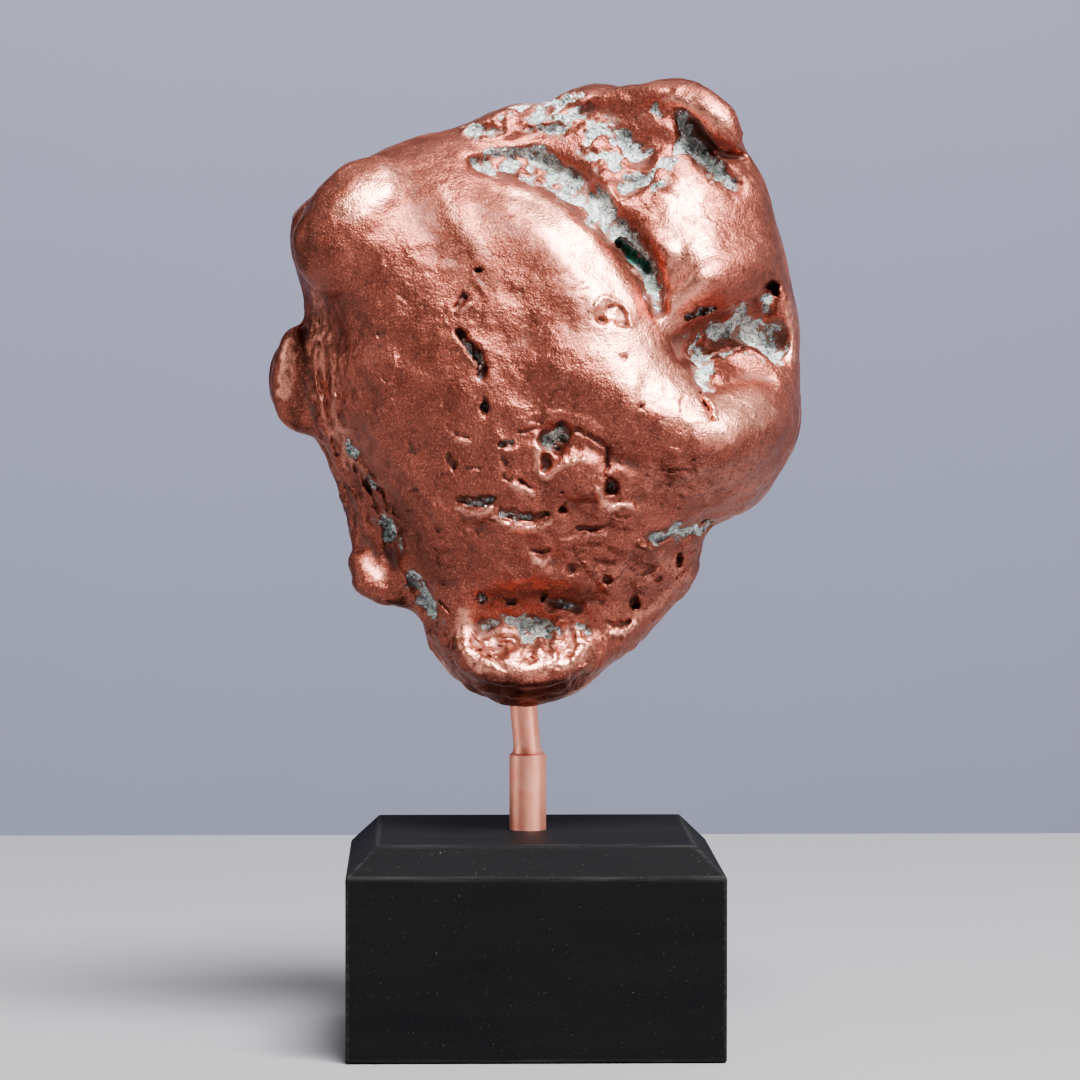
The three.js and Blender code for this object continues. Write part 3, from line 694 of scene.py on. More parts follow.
def rippled(points, ripples, left, low):
    """Unevenness of several sizes, added up."""
    return sum(
        (ripple.height + ripple.left * left + ripple.low * low)
        * lattice_noise(points, ripple.size, ripple.seed)
        for ripple in ripples)


def facing(normals, side):
    """How fully each point looks towards a side, from 0 to 1."""
    return smooth_step(normals @ np.array(side.faces, float), side.edge, side.edge + 0.35)


def drawn(points, side, marks, wander=0.35, lumpy=0.0):
    """Each mark's height at each point, added up, with edges that wander like torn metal."""
    right = points @ np.array(side.right, float)
    up = points @ np.array(side.up, float)
    right = right + wander * (lattice_noise(points, 1.9, 11) + 0.5 * lattice_noise(points, 0.9, 13))
    up = up + wander * (lattice_noise(points, 1.9, 12) + 0.5 * lattice_noise(points, 0.9, 14))
    total = np.zeros(len(points))
    for mark in marks:
        total += mark.height * SECTIONS[mark.shape](stroke_nearness(right, up, mark.stroke))
    return total * (1 + lumpy * lattice_noise(points, 1.5, 15))


def strongest(points, side, marks, wander):
    """Like drawn, but patches that overlap don't add up."""
    right = points @ np.array(side.right, float) + wander * lattice_noise(points, 1.5, 21)
    up = points @ np.array(side.up, float) + wander * lattice_noise(points, 1.5, 22)
    best = np.zeros(len(points))
    for mark in marks:
        near = stroke_nearness(right, up, mark.stroke)
        best = np.maximum(best, mark.height * SECTIONS[mark.shape](near))
    return best


class Skin:
    """A mesh's points, in millimetres, with what modelling them needs."""

    def __init__(self, mesh):
        self.mesh = mesh
        count = len(mesh.vertices)
        flat = np.empty(count * 3, np.float32)
        mesh.vertices.foreach_get("co", flat)
        self.points = flat.reshape(-1, 3).astype(float) / MM
        ends = np.empty(len(mesh.edges) * 2, np.int32)
        mesh.edges.foreach_get("vertices", ends)
        self.ends = ends.reshape(-1, 2)
        self.valence = np.maximum(np.bincount(self.ends.ravel(), minlength=count), 1)[:, None]

    def store(self):
        """Writes the points back to the mesh, in metres."""
        self.mesh.vertices.foreach_set("co", (self.points * MM).astype(np.float32).ravel())
        self.mesh.update()

    def normals(self):
        """Each point's outward direction."""
        self.store()
        flat = np.empty(len(self.points) * 3, np.float32)
        self.mesh.vertex_normals.foreach_get("vector", flat)
        return flat.reshape(-1, 3).astype(float)

    def around(self, values):
        """The mean of each point's neighbours' values."""
        first, second = self.ends.T
        count = len(self.points)
        sums = [
            np.bincount(first, values[second, axis], count)
            + np.bincount(second, values[first, axis], count)
            for axis in range(values.shape[1])
        ]
        return np.stack(sums, axis=1) / self.valence

    def softened(self, values, times):
        """The values, spread evenly over their neighbours some number of times."""
        for _ in range(times):
            values = 0.5 * values + 0.5 * self.around(values)
        return values

    def press(self, side, marks, wander=0.35, lumpy=0.0):
        """Pushes the marks of one side straight in or out."""
        share = facing(self.normals(), side)
        height = share * drawn(self.points, side, marks, wander, lumpy)
        self.points += height[:, None] * np.array(side.faces, float)

    def hammer(self, side, fields):
        """Beats fields of dents into one side."""
        share = facing(self.normals(), side)
        depth = share * strongest(self.points, side, scoops(fields), 0.4)
        self.points -= depth[:, None] * np.array(side.faces, float)
        self.press(side, nicks(fields), 0.4, 0.6)

    def swell(self, heights):
        """Pushes each point out along its own normal."""
        self.points += heights[:, None] * self.normals()


def finished_mesh(piece, modifier_type, **settings):
    """A new mesh: the piece's own with one modifier applied."""
    modifier = piece.modifiers.new(modifier_type.title(), modifier_type)
    for name, value in settings.items():
        setattr(modifier, name, value)
    graph = bpy.context.evaluated_depsgraph_get()
    graph.update()
    mesh = bpy.data.meshes.new_from_object(piece.evaluated_get(graph))
    piece.modifiers.clear()
    piece.data = mesh
    return mesh


def new_mesh(name, bm):
    """A mesh made of a bmesh, which is freed."""
    mesh = bpy.data.meshes.new(name)
    bm.to_mesh(mesh)
    bm.free()
    return mesh


def linked(name, data):
    """A new object, put in the scene."""
    thing = bpy.data.objects.new(name, data)
    bpy.context.scene.collection.objects.link(thing)
    return thing


def new_piece(name, mesh, material=None, replaces=None):
    """Shows a mesh as one piece of the object, and says what it stands for."""
    piece = linked(name, mesh)
    if material:
        mesh.materials.append(material)
    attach(piece, BODY)
    if replaces:
        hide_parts(replaces)
    return piece


def set_attribute(mesh, name, values):
    """Stores one number for each point of a mesh, for its material to read."""
    layer = mesh.attributes.new(name, "FLOAT", "POINT")
    layer.data.foreach_set("value", np.asarray(values, np.float32))


# ---------------------------------------------------------------- material tools


class Nodes:
    """Short ways to lay out one material's nodes."""

    def __init__(self, name):
        self.material = bpy.data.materials.new(name)
        self.material.use_nodes = True
        self.tree = self.material.node_tree
        self.shader = self.tree.nodes["Principled BSDF"]
        self.place = self.add("ShaderNodeTexCoord").outputs["Object"]

    def add(self, kind, **settings):
        node = self.tree.nodes.new(kind)
        for name, value in settings.items():
            setattr(node, name, value)
        return node

    def join(self, source, target):
        self.tree.links.new(source, target)

    def put(self, socket, value):
        """Links a socket to another, or sets it to a plain value."""
        if isinstance(value, bpy.types.NodeSocket):
            self.join(value, socket)
        else:
            socket.default_value = value

    def scaled(self, factors):
        mapping = self.add("ShaderNodeMapping")
        mapping.inputs["Scale"].default_value = factors
        self.join(self.place, mapping.inputs["Vector"])
        return mapping.outputs["Vector"]

    def noise(self, size, detail=3.0, roughness=0.55, vector=None, distortion=0.0):
        """Noise from 0 to 1 with lumps about `size` metres across."""
        node = self.add("ShaderNodeTexNoise")
        node.inputs["Scale"].default_value = 1 / size
        node.inputs["Detail"].default_value = detail
        node.inputs["Roughness"].default_value = roughness
        node.inputs["Distortion"].default_value = distortion
        self.join(vector or self.place, node.inputs["Vector"])
        return node.outputs["Fac"]

    def cells(self, size, feature="F1", output="Distance"):
        node = self.add("ShaderNodeTexVoronoi", feature=feature)
        node.inputs["Scale"].default_value = 1 / size
        self.join(self.place, node.inputs["Vector"])
        return node.outputs[output]

    def attribute(self, name):
        return self.add("ShaderNodeAttribute", attribute_name=name).outputs["Fac"]

    def remap(self, value, low, high, to_low=0.0, to_high=1.0):
        node = self.add("ShaderNodeMapRange", clamp=True)
        self.put(node.inputs["Value"], value)
        node.inputs["From Min"].default_value = low
        node.inputs["From Max"].default_value = high
        node.inputs["To Min"].default_value = to_low
        node.inputs["To Max"].default_value = to_high
        return node.outputs["Result"]

    def math(self, operation, first, second=0.0):
        node = self.add("ShaderNodeMath", operation=operation)
        self.put(node.inputs[0], first)
        self.put(node.inputs[1], second)
        return node.outputs["Value"]

    def mix(self, factor, first, second):
        """Blends two colours."""
        node = self.add("ShaderNodeMix", data_type="RGBA")
        self.put(node.inputs["Factor"], factor)
        self.put(node.inputs[6], first)
        self.put(node.inputs[7], second)
        return node.outputs[2]

    def layered(self, colour, *layers):
        """Lays plain colours over a first one, each by its own share from 0 to 1."""
        for share, tone in layers:
            colour = self.mix(share, colour, opaque(tone))
        return colour

    def total(self, *terms):
        """Adds up values, each times its weight."""
        result = None
        for value, weight in terms:
            part = value if weight == 1 else self.math("MULTIPLY", value, weight)
            result = self.math("ADD", result, part) if result else part
        return result

    def blend(self, factor, first, second):
        """Blends two numbers."""
        node = self.add("ShaderNodeMix", data_type="FLOAT")
        self.put(node.inputs["Factor"], factor)
        self.put(node.inputs[2], first)
        self.put(node.inputs[3], second)
        return node.outputs[0]

    def bump(self, height, distance, strength=1.0, below=None):
        node = self.add("ShaderNodeBump")
        node.inputs["Distance"].default_value = distance
        self.put(node.inputs["Strength"], strength)
        self.put(node.inputs["Height"], height)
        if below:
            self.join(below, node.inputs["Normal"])
        return node.outputs["Normal"]


def opaque(colour):
    """A colour with the fourth number that a socket wants."""
    return (*colour, 1.0)


def mineral_colours(nodes, tint):
    """Grey-green mineral: dark, greenish and pale bits, picked by a tint from 0 to 1."""
    ramp = nodes.add("ShaderNodeValToRGB")
    elements = ramp.color_ramp.elements
    elements.remove(elements[1])
    elements[0].color = opaque(MINERAL_STOPS[0][1])
    for position, colour in MINERAL_STOPS[1:]:
        elements.new(position).color = opaque(colour)
    nodes.put(ramp.inputs["Fac"], tint)
    return ramp.outputs["Color"]


def crust_stone(nodes, green):
    """The mineral crust: its colour, and how high its rubble stands."""
    bits = nodes.cells(0.6 * MM, output="Color")
    chips = nodes.cells(1.5 * MM, output="Color")
    patchy = nodes.remap(nodes.noise(2.2 * MM, 5, 0.7), 0.39, 0.6)
    tint = nodes.total((bits, 0.3), (chips, 0.42), (patchy, 0.42))
    seams = nodes.remap(nodes.cells(2.0 * MM, "DISTANCE_TO_EDGE"), 0.01, 0.09, 0.55, 0)
    stain = nodes.remap(nodes.noise(1.3 * MM, 4, 0.65), 0.54, 0.66, 0, 0.7)
    stone = mineral_colours(nodes, nodes.remap(tint, 0.17, 0.84))
    stone = nodes.layered(stone, (seams, SEAM), (stain, RUST))
    malachite = nodes.mix(nodes.remap(bits, 0.2, 0.8), *map(opaque, CRUST_GREENS))
    return nodes.mix(green, stone, malachite), nodes.total((bits, 1), (patchy, 1), (chips, 1.2))


def copper_material(settings):
    """Worn native copper with fine grain, patina in the hollows, mineral in patches, and painted
    highlights, glints and shade.
    """
    nodes = Nodes("native_copper")
    # Painted light is read here as well: highlights from the rubbed strokes, shade from the film's
    # strokes, and near-black shade in the deepest pits.
    cavity, mineral, green, red, film_and_shade, worn_and_highlight, dark = (
        nodes.attribute(name)
        for name in ("cavity", "mineral", "green", "red", "film_and_shade", "worn_and_highlight", "dark"))
    mottle = nodes.noise(6 * MM, 4, 0.6)
    grain = nodes.noise(settings.grain_size, 1, 0.5)
    speck = nodes.noise(0.9 * MM, 3, 0.7)

    ragged = nodes.total((mottle, 0.5), (speck, 0.5))
    # Painted highlights where the rubbed strokes lie, with ragged edges.
    rubbed_highlight = nodes.remap(nodes.total((worn_and_highlight, 1), (ragged, 1)), 0.75, 1.3)
    # Brown film, with painted shade along its strokes.
    filmed_and_shaded = nodes.remap(nodes.total((film_and_shade, 1), (ragged, 1)), 0.6, 1.3, 0, 0.85)
    rimmed = nodes.remap(mineral, 0.05, 0.36, 0, 0.8)
    reddened = nodes.remap(nodes.total((red, 1), (speck, 0.6)), 0.7, 0.95)
    metal = nodes.layered(
        opaque(settings.copper_dull),
        (nodes.remap(mottle, 0.35, 0.65), settings.copper),
        # Painted highlight colour.
        (rubbed_highlight, settings.worn_highlight_copper),
        # Film and painted shade.
        (filmed_and_shaded, settings.film_and_shade),
        (nodes.remap(speck, 0.46, 0.32, 0, 0.65), settings.patina),
        (nodes.remap(grain, 0.46, 0.28, 0, 0.6), settings.patina),
        # Painted glints: bright specks in the grain, besides the facets' own tone.
        (nodes.remap(grain, 0.56, 0.76, 0, 0.4), settings.glint_specks),
        (nodes.remap(cavity, 0.25, 1.0, 0, 0.7), settings.patina),
        (rimmed, settings.rim),
        # Painted shade and tarnish, near black, in the deepest pits.
        (dark, PIT_SHADE),
        (reddened, settings.oxide))

    ribs = nodes.remap(nodes.cells(4.6 * MM, "DISTANCE_TO_EDGE"), 0.02, 0.12, 0.4, 0)
    ragged_edge = nodes.math("SUBTRACT", speck, 0.5)
    crust = nodes.remap(nodes.total((mineral, 1), (ragged_edge, 1.3), (ribs, -1)), 0.46, 0.52)
    stone, rubble = crust_stone(nodes, green)
    nodes.put(nodes.shader.inputs["Base Color"], nodes.mix(crust, metal, stone))

    stained = nodes.math("MAXIMUM", rimmed, nodes.remap(cavity, 0.35, 1.0, 0, 0.6))
    matt = nodes.math("MAXIMUM", nodes.math("MULTIPLY", reddened, 0.7), stained)
    not_metal = nodes.math("MAXIMUM", crust, matt)
    nodes.put(nodes.shader.inputs["Metallic"], nodes.math("SUBTRACT", 1.0, not_metal))

    least = settings.roughness
    dull = nodes.remap(mottle, 0.3, 0.7, least + 0.08, least + 0.18)
    rough = nodes.total(
        (nodes.blend(rubbed_highlight, dull, least + 0.05), 1),
        (nodes.remap(cavity, 0.1, 0.8, 0, 0.18), 1),
        (filmed_and_shaded, 0.26))
    nodes.put(nodes.shader.inputs["Roughness"], nodes.blend(crust, rough, 0.62))
    for name, value in COAT.items():
        nodes.shader.inputs[name].default_value = value

    pores = nodes.noise(2.4 * MM, 5, 0.66)
    normal = nodes.bump(pores, 0.55 * MM, nodes.blend(rubbed_highlight, 0.85, 0.4))
    grain_strength = nodes.remap(mottle, 0.35, 0.6, 0.4, 1.0)
    normal = nodes.bump(grain, settings.grain_depth, grain_strength, normal)
    normal = nodes.bump(nodes.math("MULTIPLY", rubble, crust), 0.3 * MM, 0.9, normal)
    nodes.put(nodes.shader.inputs["Normal"], normal)
    return nodes.material


def mineral_material():
    """The loose-looking grains of the crust, each with its own tint."""
    nodes = Nodes("mineral_grains")
    tint = nodes.attribute("tint")
    green = nodes.attribute("green")
    fleck = nodes.noise(0.3 * MM, 2, 0.6)
    shade = nodes.total((tint, 1), (nodes.remap(fleck, 0.3, 0.7, -0.12, 0.12), 1))
    malachite = nodes.mix(tint, *map(opaque, GRAIN_GREENS))
    colour = nodes.mix(green, mineral_colours(nodes, shade), malachite)
    nodes.put(nodes.shader.inputs["Base Color"], colour)
    nodes.put(nodes.shader.inputs["Roughness"], nodes.remap(fleck, 0.3, 0.7, 0.4, 0.7))
    nodes.put(nodes.shader.inputs["Normal"], nodes.bump(fleck, 0.06 * MM, 0.6))
    return nodes.material


def rod_material(settings):
    """Fine-turned satin copper rod."""
    nodes = Nodes("copper_rod")
    rings = nodes.noise(0.12 * MM, 2, 0.5, nodes.scaled((0.06, 0.06, 1.0)))
    smear = nodes.noise(2.0 * MM, 3, 0.6)
    colour = nodes.mix(
        nodes.remap(smear, 0.3, 0.7), opaque(settings.colour), opaque(settings.colour_worn))
    nodes.put(nodes.shader.inputs["Base Color"], colour)
    nodes.shader.inputs["Metallic"].default_value = 1.0
    nodes.put(nodes.shader.inputs["Roughness"], nodes.remap(rings, 0.3, 0.7, 0.44, 0.52))
    sand = nodes.bump(nodes.noise(0.3 * MM, 2, 0.6), 0.02 * MM, 0.5)
    nodes.put(nodes.shader.inputs["Normal"], nodes.bump(rings, 0.006 * MM, 0.6, sand))
    return nodes.material


def paint_material(settings):
    """Black satin paint, thin enough for the wood's grain to show a little."""
    nodes = Nodes("black_wood")
    fibres = nodes.noise(0.7 * MM, 4, 0.6, nodes.scaled((0.05, 1.0, 1.0)))
    bands = nodes.noise(5 * MM, 3, 0.6, nodes.scaled((0.18, 1.0, 1.0)), 0.6)
    cloud = nodes.noise(14 * MM, 3, 0.6)
    dust = nodes.noise(0.35 * MM, 1, 0.5)
    chipped = nodes.remap(fibres, 0.45, 0.65, 0.15, 0.8)
    colour = nodes.layered(
        opaque(settings.paint),
        (nodes.remap(bands, 0.3, 0.75), settings.paint_thin),
        (nodes.remap(cloud, 0.45, 0.75, 0, 0.5), settings.paint_thin),
        (nodes.remap(dust, 0.74, 0.8, 0, 0.35), DUST),
        (nodes.math("MULTIPLY", nodes.attribute("wear"), chipped), settings.edge))
    nodes.put(nodes.shader.inputs["Base Color"], colour)
    nodes.put(nodes.shader.inputs["Roughness"], nodes.remap(bands, 0.3, 0.7, 0.5, 0.58))
    nodes.shader.inputs["Specular IOR Level"].default_value = 0.025
    normal = nodes.bump(bands, 0.012 * MM, 0.25)
    nodes.put(nodes.shader.inputs["Normal"], nodes.bump(fibres, 0.010 * MM, 0.3, normal))
    return nodes.material


# ---------------------------------------------------------------- nugget


def clay_lump():
    """The frame's rough nugget, closed up, with the rolls of clay laid on it."""
    bm = bmesh.new()
    bm.from_mesh(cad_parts["nugget"].data)
    bmesh.ops.remove_doubles(bm, verts=bm.verts, dist=0.002 * MM)
    for roll in CLAY_ROLLS.values():
        for start, end in zip(roll, roll[1:]):
            a, b = np.array(start), np.array(end)
            steps = max(2, int(np.linalg.norm(b[:3] - a[:3]) / 0.7))
            for share in np.linspace(0, 1, steps, endpoint=False):
                x, y, z, radius = (a + share * (b - a)) * MM
                ball = Matrix.Translation((x, y, z))
                bmesh.ops.create_icosphere(bm, subdivisions=2, radius=radius, matrix=ball)
    return bm


def skinned(piece, spacing, softenings):
    """Skins the piece afresh, and softens the steps that skinning leaves."""
    skin = Skin(finished_mesh(piece, "REMESH", mode="VOXEL", voxel_size=spacing))
    skin.points = skin.softened(skin.points, softenings)
    return skin


def model_skin(piece, settings):
    """Skins the lump, presses the big forms in, skins it finer and adds the small marks."""
    skin = skinned(piece, settings.coarse_skin, 6)
    skin.press(FRONT, FRONT_FORMS)
    skin.press(BACK, BACK_FORMS, 0.9, 0.3)
    skin.press(LEFT, LEFT_FORMS)
    skin.press(RIGHT, RIGHT_FORMS)
    skin.points = skin.softened(skin.points, 2)
    skin.store()

    skin = skinned(piece, settings.fine_skin, 3)
    left = 1 - smooth_step(skin.points[:, 0], *LEFT_PART)
    low = 1 - smooth_step(skin.points[:, 2], *LOW_PART)
    flattened = skin.points * (1, 1, 1.2)
    pores = np.minimum(0, lattice_noise(flattened, PORE_SIZE, PORE_SEED) + 0.3)
    skin.swell(rippled(skin.points, UNEVEN, left, low) + (0.12 + 0.25 * low) * pores)
    for side, fields in DENTS:
        skin.hammer(side, fields)
    skin.press(FRONT, strands(BAND_LEFT, BAND_RIGHT, BAND_STRANDS, BAND_SEED), 0.6, 0.5)
    skin.press(FRONT, FRONT_MARKS, 0.4, 0.7)
    crust = smooth_step(mineral_mask(skin), 0.3, 0.7)
    rubble = rippled(skin.points, RUBBLE, left, low) - CRUST_SINK
    fine = rippled(skin.points, FINE, left, low)
    skin.swell(crust * rubble + (1 - crust) * fine)
    skin.store()


def mineral_mask(skin):
    """Where the mineral shows, from 0 to 1, at each point."""
    normals, points = skin.normals(), skin.points
    blobs = lattice_noise(points, 3.0, 51) + 0.5 * lattice_noise(points, 1.5, 52)
    total = np.zeros(len(points))
    for side, cores, mixed in (
            (FRONT, FRONT_MINERAL, FRONT_MIXED), (BACK, BACK_MINERAL, BACK_MIXED)):
        core = strongest(points, side, cores, 0.8) * np.clip(1.05 + 0.75 * blobs, 0, 1)
        loose = strongest(points, side, mixed, 0.9) * smooth_step(blobs, -0.06, 0.22)
        shown = facing(normals, side._replace(edge=-0.25))
        total = np.maximum(total, shown * np.maximum(core, loose))
    return total


def paint_attributes(mesh):
    """Stores what the nugget's material reads: hollows, mineral, film with painted shade, rubbed
    places with painted highlights, near-black painted shade in deep pits and so on.
    """
    skin = Skin(mesh)
    normals = skin.normals()
    near = skin.softened(skin.points, 25)
    wide = skin.softened(near, 70)
    pit = np.einsum("ij,ij->i", near - skin.points, normals)
    hollow = np.einsum("ij,ij->i", wide - skin.points, normals)

    front = facing(normals, FRONT)
    not_behind = normals[:, 1] < 0.4
    # Painted highlights: the rubbed strokes on the front and the lips round the pits.
    rubbed_highlight = np.maximum(
        strongest(skin.points, FRONT, FRONT_WORN_HIGHLIGHTS, 1.2), strongest(skin.points, FRONT, LIP_HIGHLIGHTS, 0.4))
    crests = np.clip(-1.6 * hollow - 0.1, 0, 0.7)
    masks = {
        "cavity": np.clip(1.6 * pit + 0.7 * np.maximum(hollow, 0), 0, 1),
        "mineral": mineral_mask(skin),
        "green": strongest(skin.points, FRONT, FRONT_GREEN, 0.4) * not_behind,
        "red": strongest(skin.points, FRONT, FRONT_RED, 0.9) * not_behind,
        # Brown film, with painted shade along its strokes.
        "film_and_shade": strongest(skin.points, FRONT, FRONT_FILM_AND_SHADE, 1.2) * front,
        # Painted highlights along the front's strokes; rubbed crests on the other sides.
        "worn_and_highlight": np.maximum(front * rubbed_highlight, (1 - front) * crests),
        # Painted shade and tarnish, near black, in the deepest pits.
        "dark": smooth_step(pit, 0.6, 1.3) * 0.8,
    }
    for name, values in masks.items():
        set_attribute(mesh, name, values)
    return skin, normals, masks


def scatter_grains(skin, normals, masks, settings):
    """Small mineral grains, bedded in the crust: one joined mesh, a dozen faces each."""
    rng = np.random.default_rng(GRAIN_SEED)
    bedded = np.flatnonzero(masks["mineral"] > 0.55)
    chosen = rng.choice(bedded, size=min(settings.grain_count, len(bedded)), replace=False)

    seed_grain = bmesh.new()
    bmesh.ops.create_icosphere(seed_grain, subdivisions=1, radius=1.0)
    corners = np.array([v.co[:] for v in seed_grain.verts])
    faces = np.array([[v.index for v in f.verts] for f in seed_grain.faces])
    seed_grain.free()

    count, size = len(chosen), len(corners)
    places = np.empty((count, size, 3))
    for i, index in enumerate(chosen):
        turn = np.array(Euler(rng.uniform(0, 2 * pi, 3)).to_matrix())
        half = GRAIN_LEAST + GRAIN_RANGE * rng.random() ** 3
        shape = corners * rng.uniform(0.75, 1.2, (size, 1)) * rng.uniform(0.45, 1.5, 3) * half
        bed = skin.points[index] + normals[index] * half * rng.uniform(*GRAIN_BED)
        places[i] = shape @ turn.T + bed
    mesh = bpy.data.meshes.new("mineral")
    all_faces = (faces[None] + size * np.arange(count)[:, None, None]).reshape(-1, 3)
    mesh.from_pydata((places.reshape(-1, 3) * MM).tolist(), [], all_faces.tolist())
    patchy = 0.5 + 0.3 * lattice_noise(skin.points[chosen], 2.4, 61)
    tint = np.clip(patchy + rng.normal(0, 0.2, count), 0, 1)
    set_attribute(mesh, "tint", np.repeat(tint, size))
    set_attribute(mesh, "green", np.repeat(masks["green"][chosen], size))
    return mesh


def build_nugget(settings):
    """The nugget, and the grains bedded in its hollows."""
    lump = new_mesh("native_nugget", clay_lump())
    piece = new_piece("native_nugget", lump, replaces="nugget")
    model_skin(piece, settings)
    triangles = sum(len(f.vertices) - 2 for f in piece.data.polygons)
    if triangles > settings.most_triangles:
        finished_mesh(piece, "DECIMATE", ratio=settings.most_triangles / triangles)
    piece.data.name = "native_nugget"
    piece.data.materials.clear()
    piece.data.materials.append(copper_material(settings))
    piece.data.shade_smooth()
    skin, normals, masks = paint_attributes(piece.data)

    grains = scatter_grains(skin, normals, masks, settings)
    new_piece("mineral_grains", grains, mineral_material())


# ---------------------------------------------------------------- pin


def build_post(settings):
    """The turned pin: barrel, soft shoulder, and a neck that leans into the nugget."""
    low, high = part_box("post")
    block_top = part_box("base")[1].z
    barrel = settings.barrel_radius
    neck = settings.neck_radius
    shoulder = block_top + settings.barrel_show
    axis_x = high.x - barrel
    rim_drop, rim_inset, rim_lift, step = 0.12 * MM, 0.10 * MM, 0.02 * MM, 0.35 * MM
    profile = [
        (0, low.z), (barrel, low.z), (barrel, shoulder - rim_drop),
        (barrel - rim_inset, shoulder + rim_lift),
    ]
    for share in (0.15, 0.35, 0.6, 0.8, 1.0):
        radius = neck + (barrel - step - neck) * (1 - share) ** 1.8
        profile.append((radius, shoulder + settings.shoulder_rise * share))
    profile += [(neck, high.z), (0, high.z)]

    bm = bmesh.new()
    verts = [bm.verts.new((radius, 0, z)) for radius, z in profile]
    edges = [bm.edges.new(pair) for pair in zip(verts, verts[1:])]
    bmesh.ops.spin(
        bm, geom=verts + edges, axis=(0, 0, 1), cent=(0, 0, 0), steps=96, angle=2 * pi,
        use_merge=True)
    bmesh.ops.remove_doubles(bm, verts=bm.verts, dist=0.001 * MM)
    for vert in bm.verts:
        rise = max(0.0, vert.co.z - shoulder)
        vert.co.x += axis_x - rise * tan(settings.lean)
    bmesh.ops.recalc_face_normals(bm, faces=bm.faces)
    for face in bm.faces:
        face.smooth = True
    for edge in bm.edges:
        edge.smooth = edge.calc_face_angle(0) <= radians(35)
    new_piece("pin", new_mesh("pin", bm), rod_material(settings), "post")


# ---------------------------------------------------------------- block


def build_base(settings):
    """The bevelled block, its edges barely rounded, with the pin's hole in its top."""
    low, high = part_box("base")
    post_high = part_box("post")[1]
    face_top = high.z - settings.bevel_rise
    half = (high.x - low.x) / 2

    bm = bmesh.new()
    bmesh.ops.create_cube(bm, size=1.0)
    bmesh.ops.scale(bm, vec=(2 * half, 2 * half, face_top), verts=bm.verts)
    bmesh.ops.translate(bm, vec=(0, 0, face_top / 2), verts=bm.verts)
    top = max(bm.faces, key=lambda f: f.calc_center_median().z)
    lifted = bmesh.ops.extrude_face_region(bm, geom=[top])
    bmesh.ops.delete(bm, geom=[top], context="FACES")
    ring = [v for v in lifted["geom"] if isinstance(v, bmesh.types.BMVert)]
    inset = (half - settings.bevel_inset) / half
    bmesh.ops.translate(bm, vec=(0, 0, settings.bevel_rise), verts=ring)
    bmesh.ops.scale(bm, vec=(inset, inset, 1), verts=ring)

    outer = [e for e in bm.edges if e.calc_face_angle(0) > radians(10)]
    rounded = bmesh.ops.bevel(
        bm, geom=outer, offset=settings.edge_round, offset_type="OFFSET", segments=3,
        profile=0.5, affect="EDGES", material=-1)
    worn_and_highlight = {v for f in rounded["faces"] for v in f.verts}
    broad = [f for f in bm.faces if f.calc_area() > settings.bevel_rise ** 2]
    bmesh.ops.inset_individual(bm, faces=broad, thickness=2 * settings.edge_round)

    top = max(bm.faces, key=lambda f: (round(f.calc_center_median().z, 6), f.calc_area()))
    rim = list(top.edges)
    bmesh.ops.delete(bm, geom=[top], context="FACES_ONLY")
    axis_x = post_high.x - settings.hole_radius + settings.hole_gap
    centre = Matrix.Translation((axis_x, 0, high.z))
    mouth = bmesh.ops.create_circle(bm, segments=64, radius=settings.hole_radius, matrix=centre)
    mouth_edges = list({e for v in mouth["verts"] for e in v.link_edges})
    bmesh.ops.bridge_loops(bm, edges=rim + mouth_edges)
    walls = bmesh.ops.extrude_edge_only(bm, edges=mouth_edges)
    bottom = [v for v in walls["geom"] if isinstance(v, bmesh.types.BMVert)]
    bmesh.ops.translate(bm, vec=(0, 0, -settings.hole_depth), verts=bottom)
    bmesh.ops.contextual_create(bm, geom=bottom)
    bmesh.ops.recalc_face_normals(bm, faces=bm.faces)

    bm.verts.index_update()
    wear = [1.0 if v in worn_and_highlight else 0.0 for v in bm.verts]
    mesh = new_mesh("block", bm)
    new_piece("block", mesh, paint_material(settings), "base")
    set_attribute(mesh, "wear", wear)


# ---------------------------------------------------------------- stage


def soft_light(name, place, target, size, power):
    """A rectangular soft box, turned to face a point."""
    data = bpy.data.lights.new(name, "AREA")
    data.shape = "RECTANGLE"
    data.size, data.size_y = size
    data.energy = power
    light = linked(name, data)
    light.location = place
    light.rotation_euler = (Vector(target) - Vector(place)).to_track_quat("-Z", "Y").to_euler()


def plain_material(name, colour, roughness):
    """A plain matt finish, with the slightest cloudiness."""
    nodes = Nodes(name)
    shade = tuple(c * 0.94 for c in colour)
    cloudy = nodes.layered(opaque(shade), (nodes.noise(0.25, 3, 0.5), colour))
    nodes.put(nodes.shader.inputs["Base Color"], cloudy)
    nodes.shader.inputs["Roughness"].default_value = roughness
    return nodes.material


def build_sheet(name, size, placing, material):
    """One flat sheet of the stage."""
    bm = bmesh.new()
    bmesh.ops.create_grid(bm, x_segments=1, y_segments=1, size=0.5)
    bmesh.ops.scale(bm, vec=(*size, 1), verts=bm.verts)
    bmesh.ops.transform(bm, matrix=placing, verts=bm.verts)
    sheet = linked(name, new_mesh(name, bm))
    sheet.data.materials.append(material)


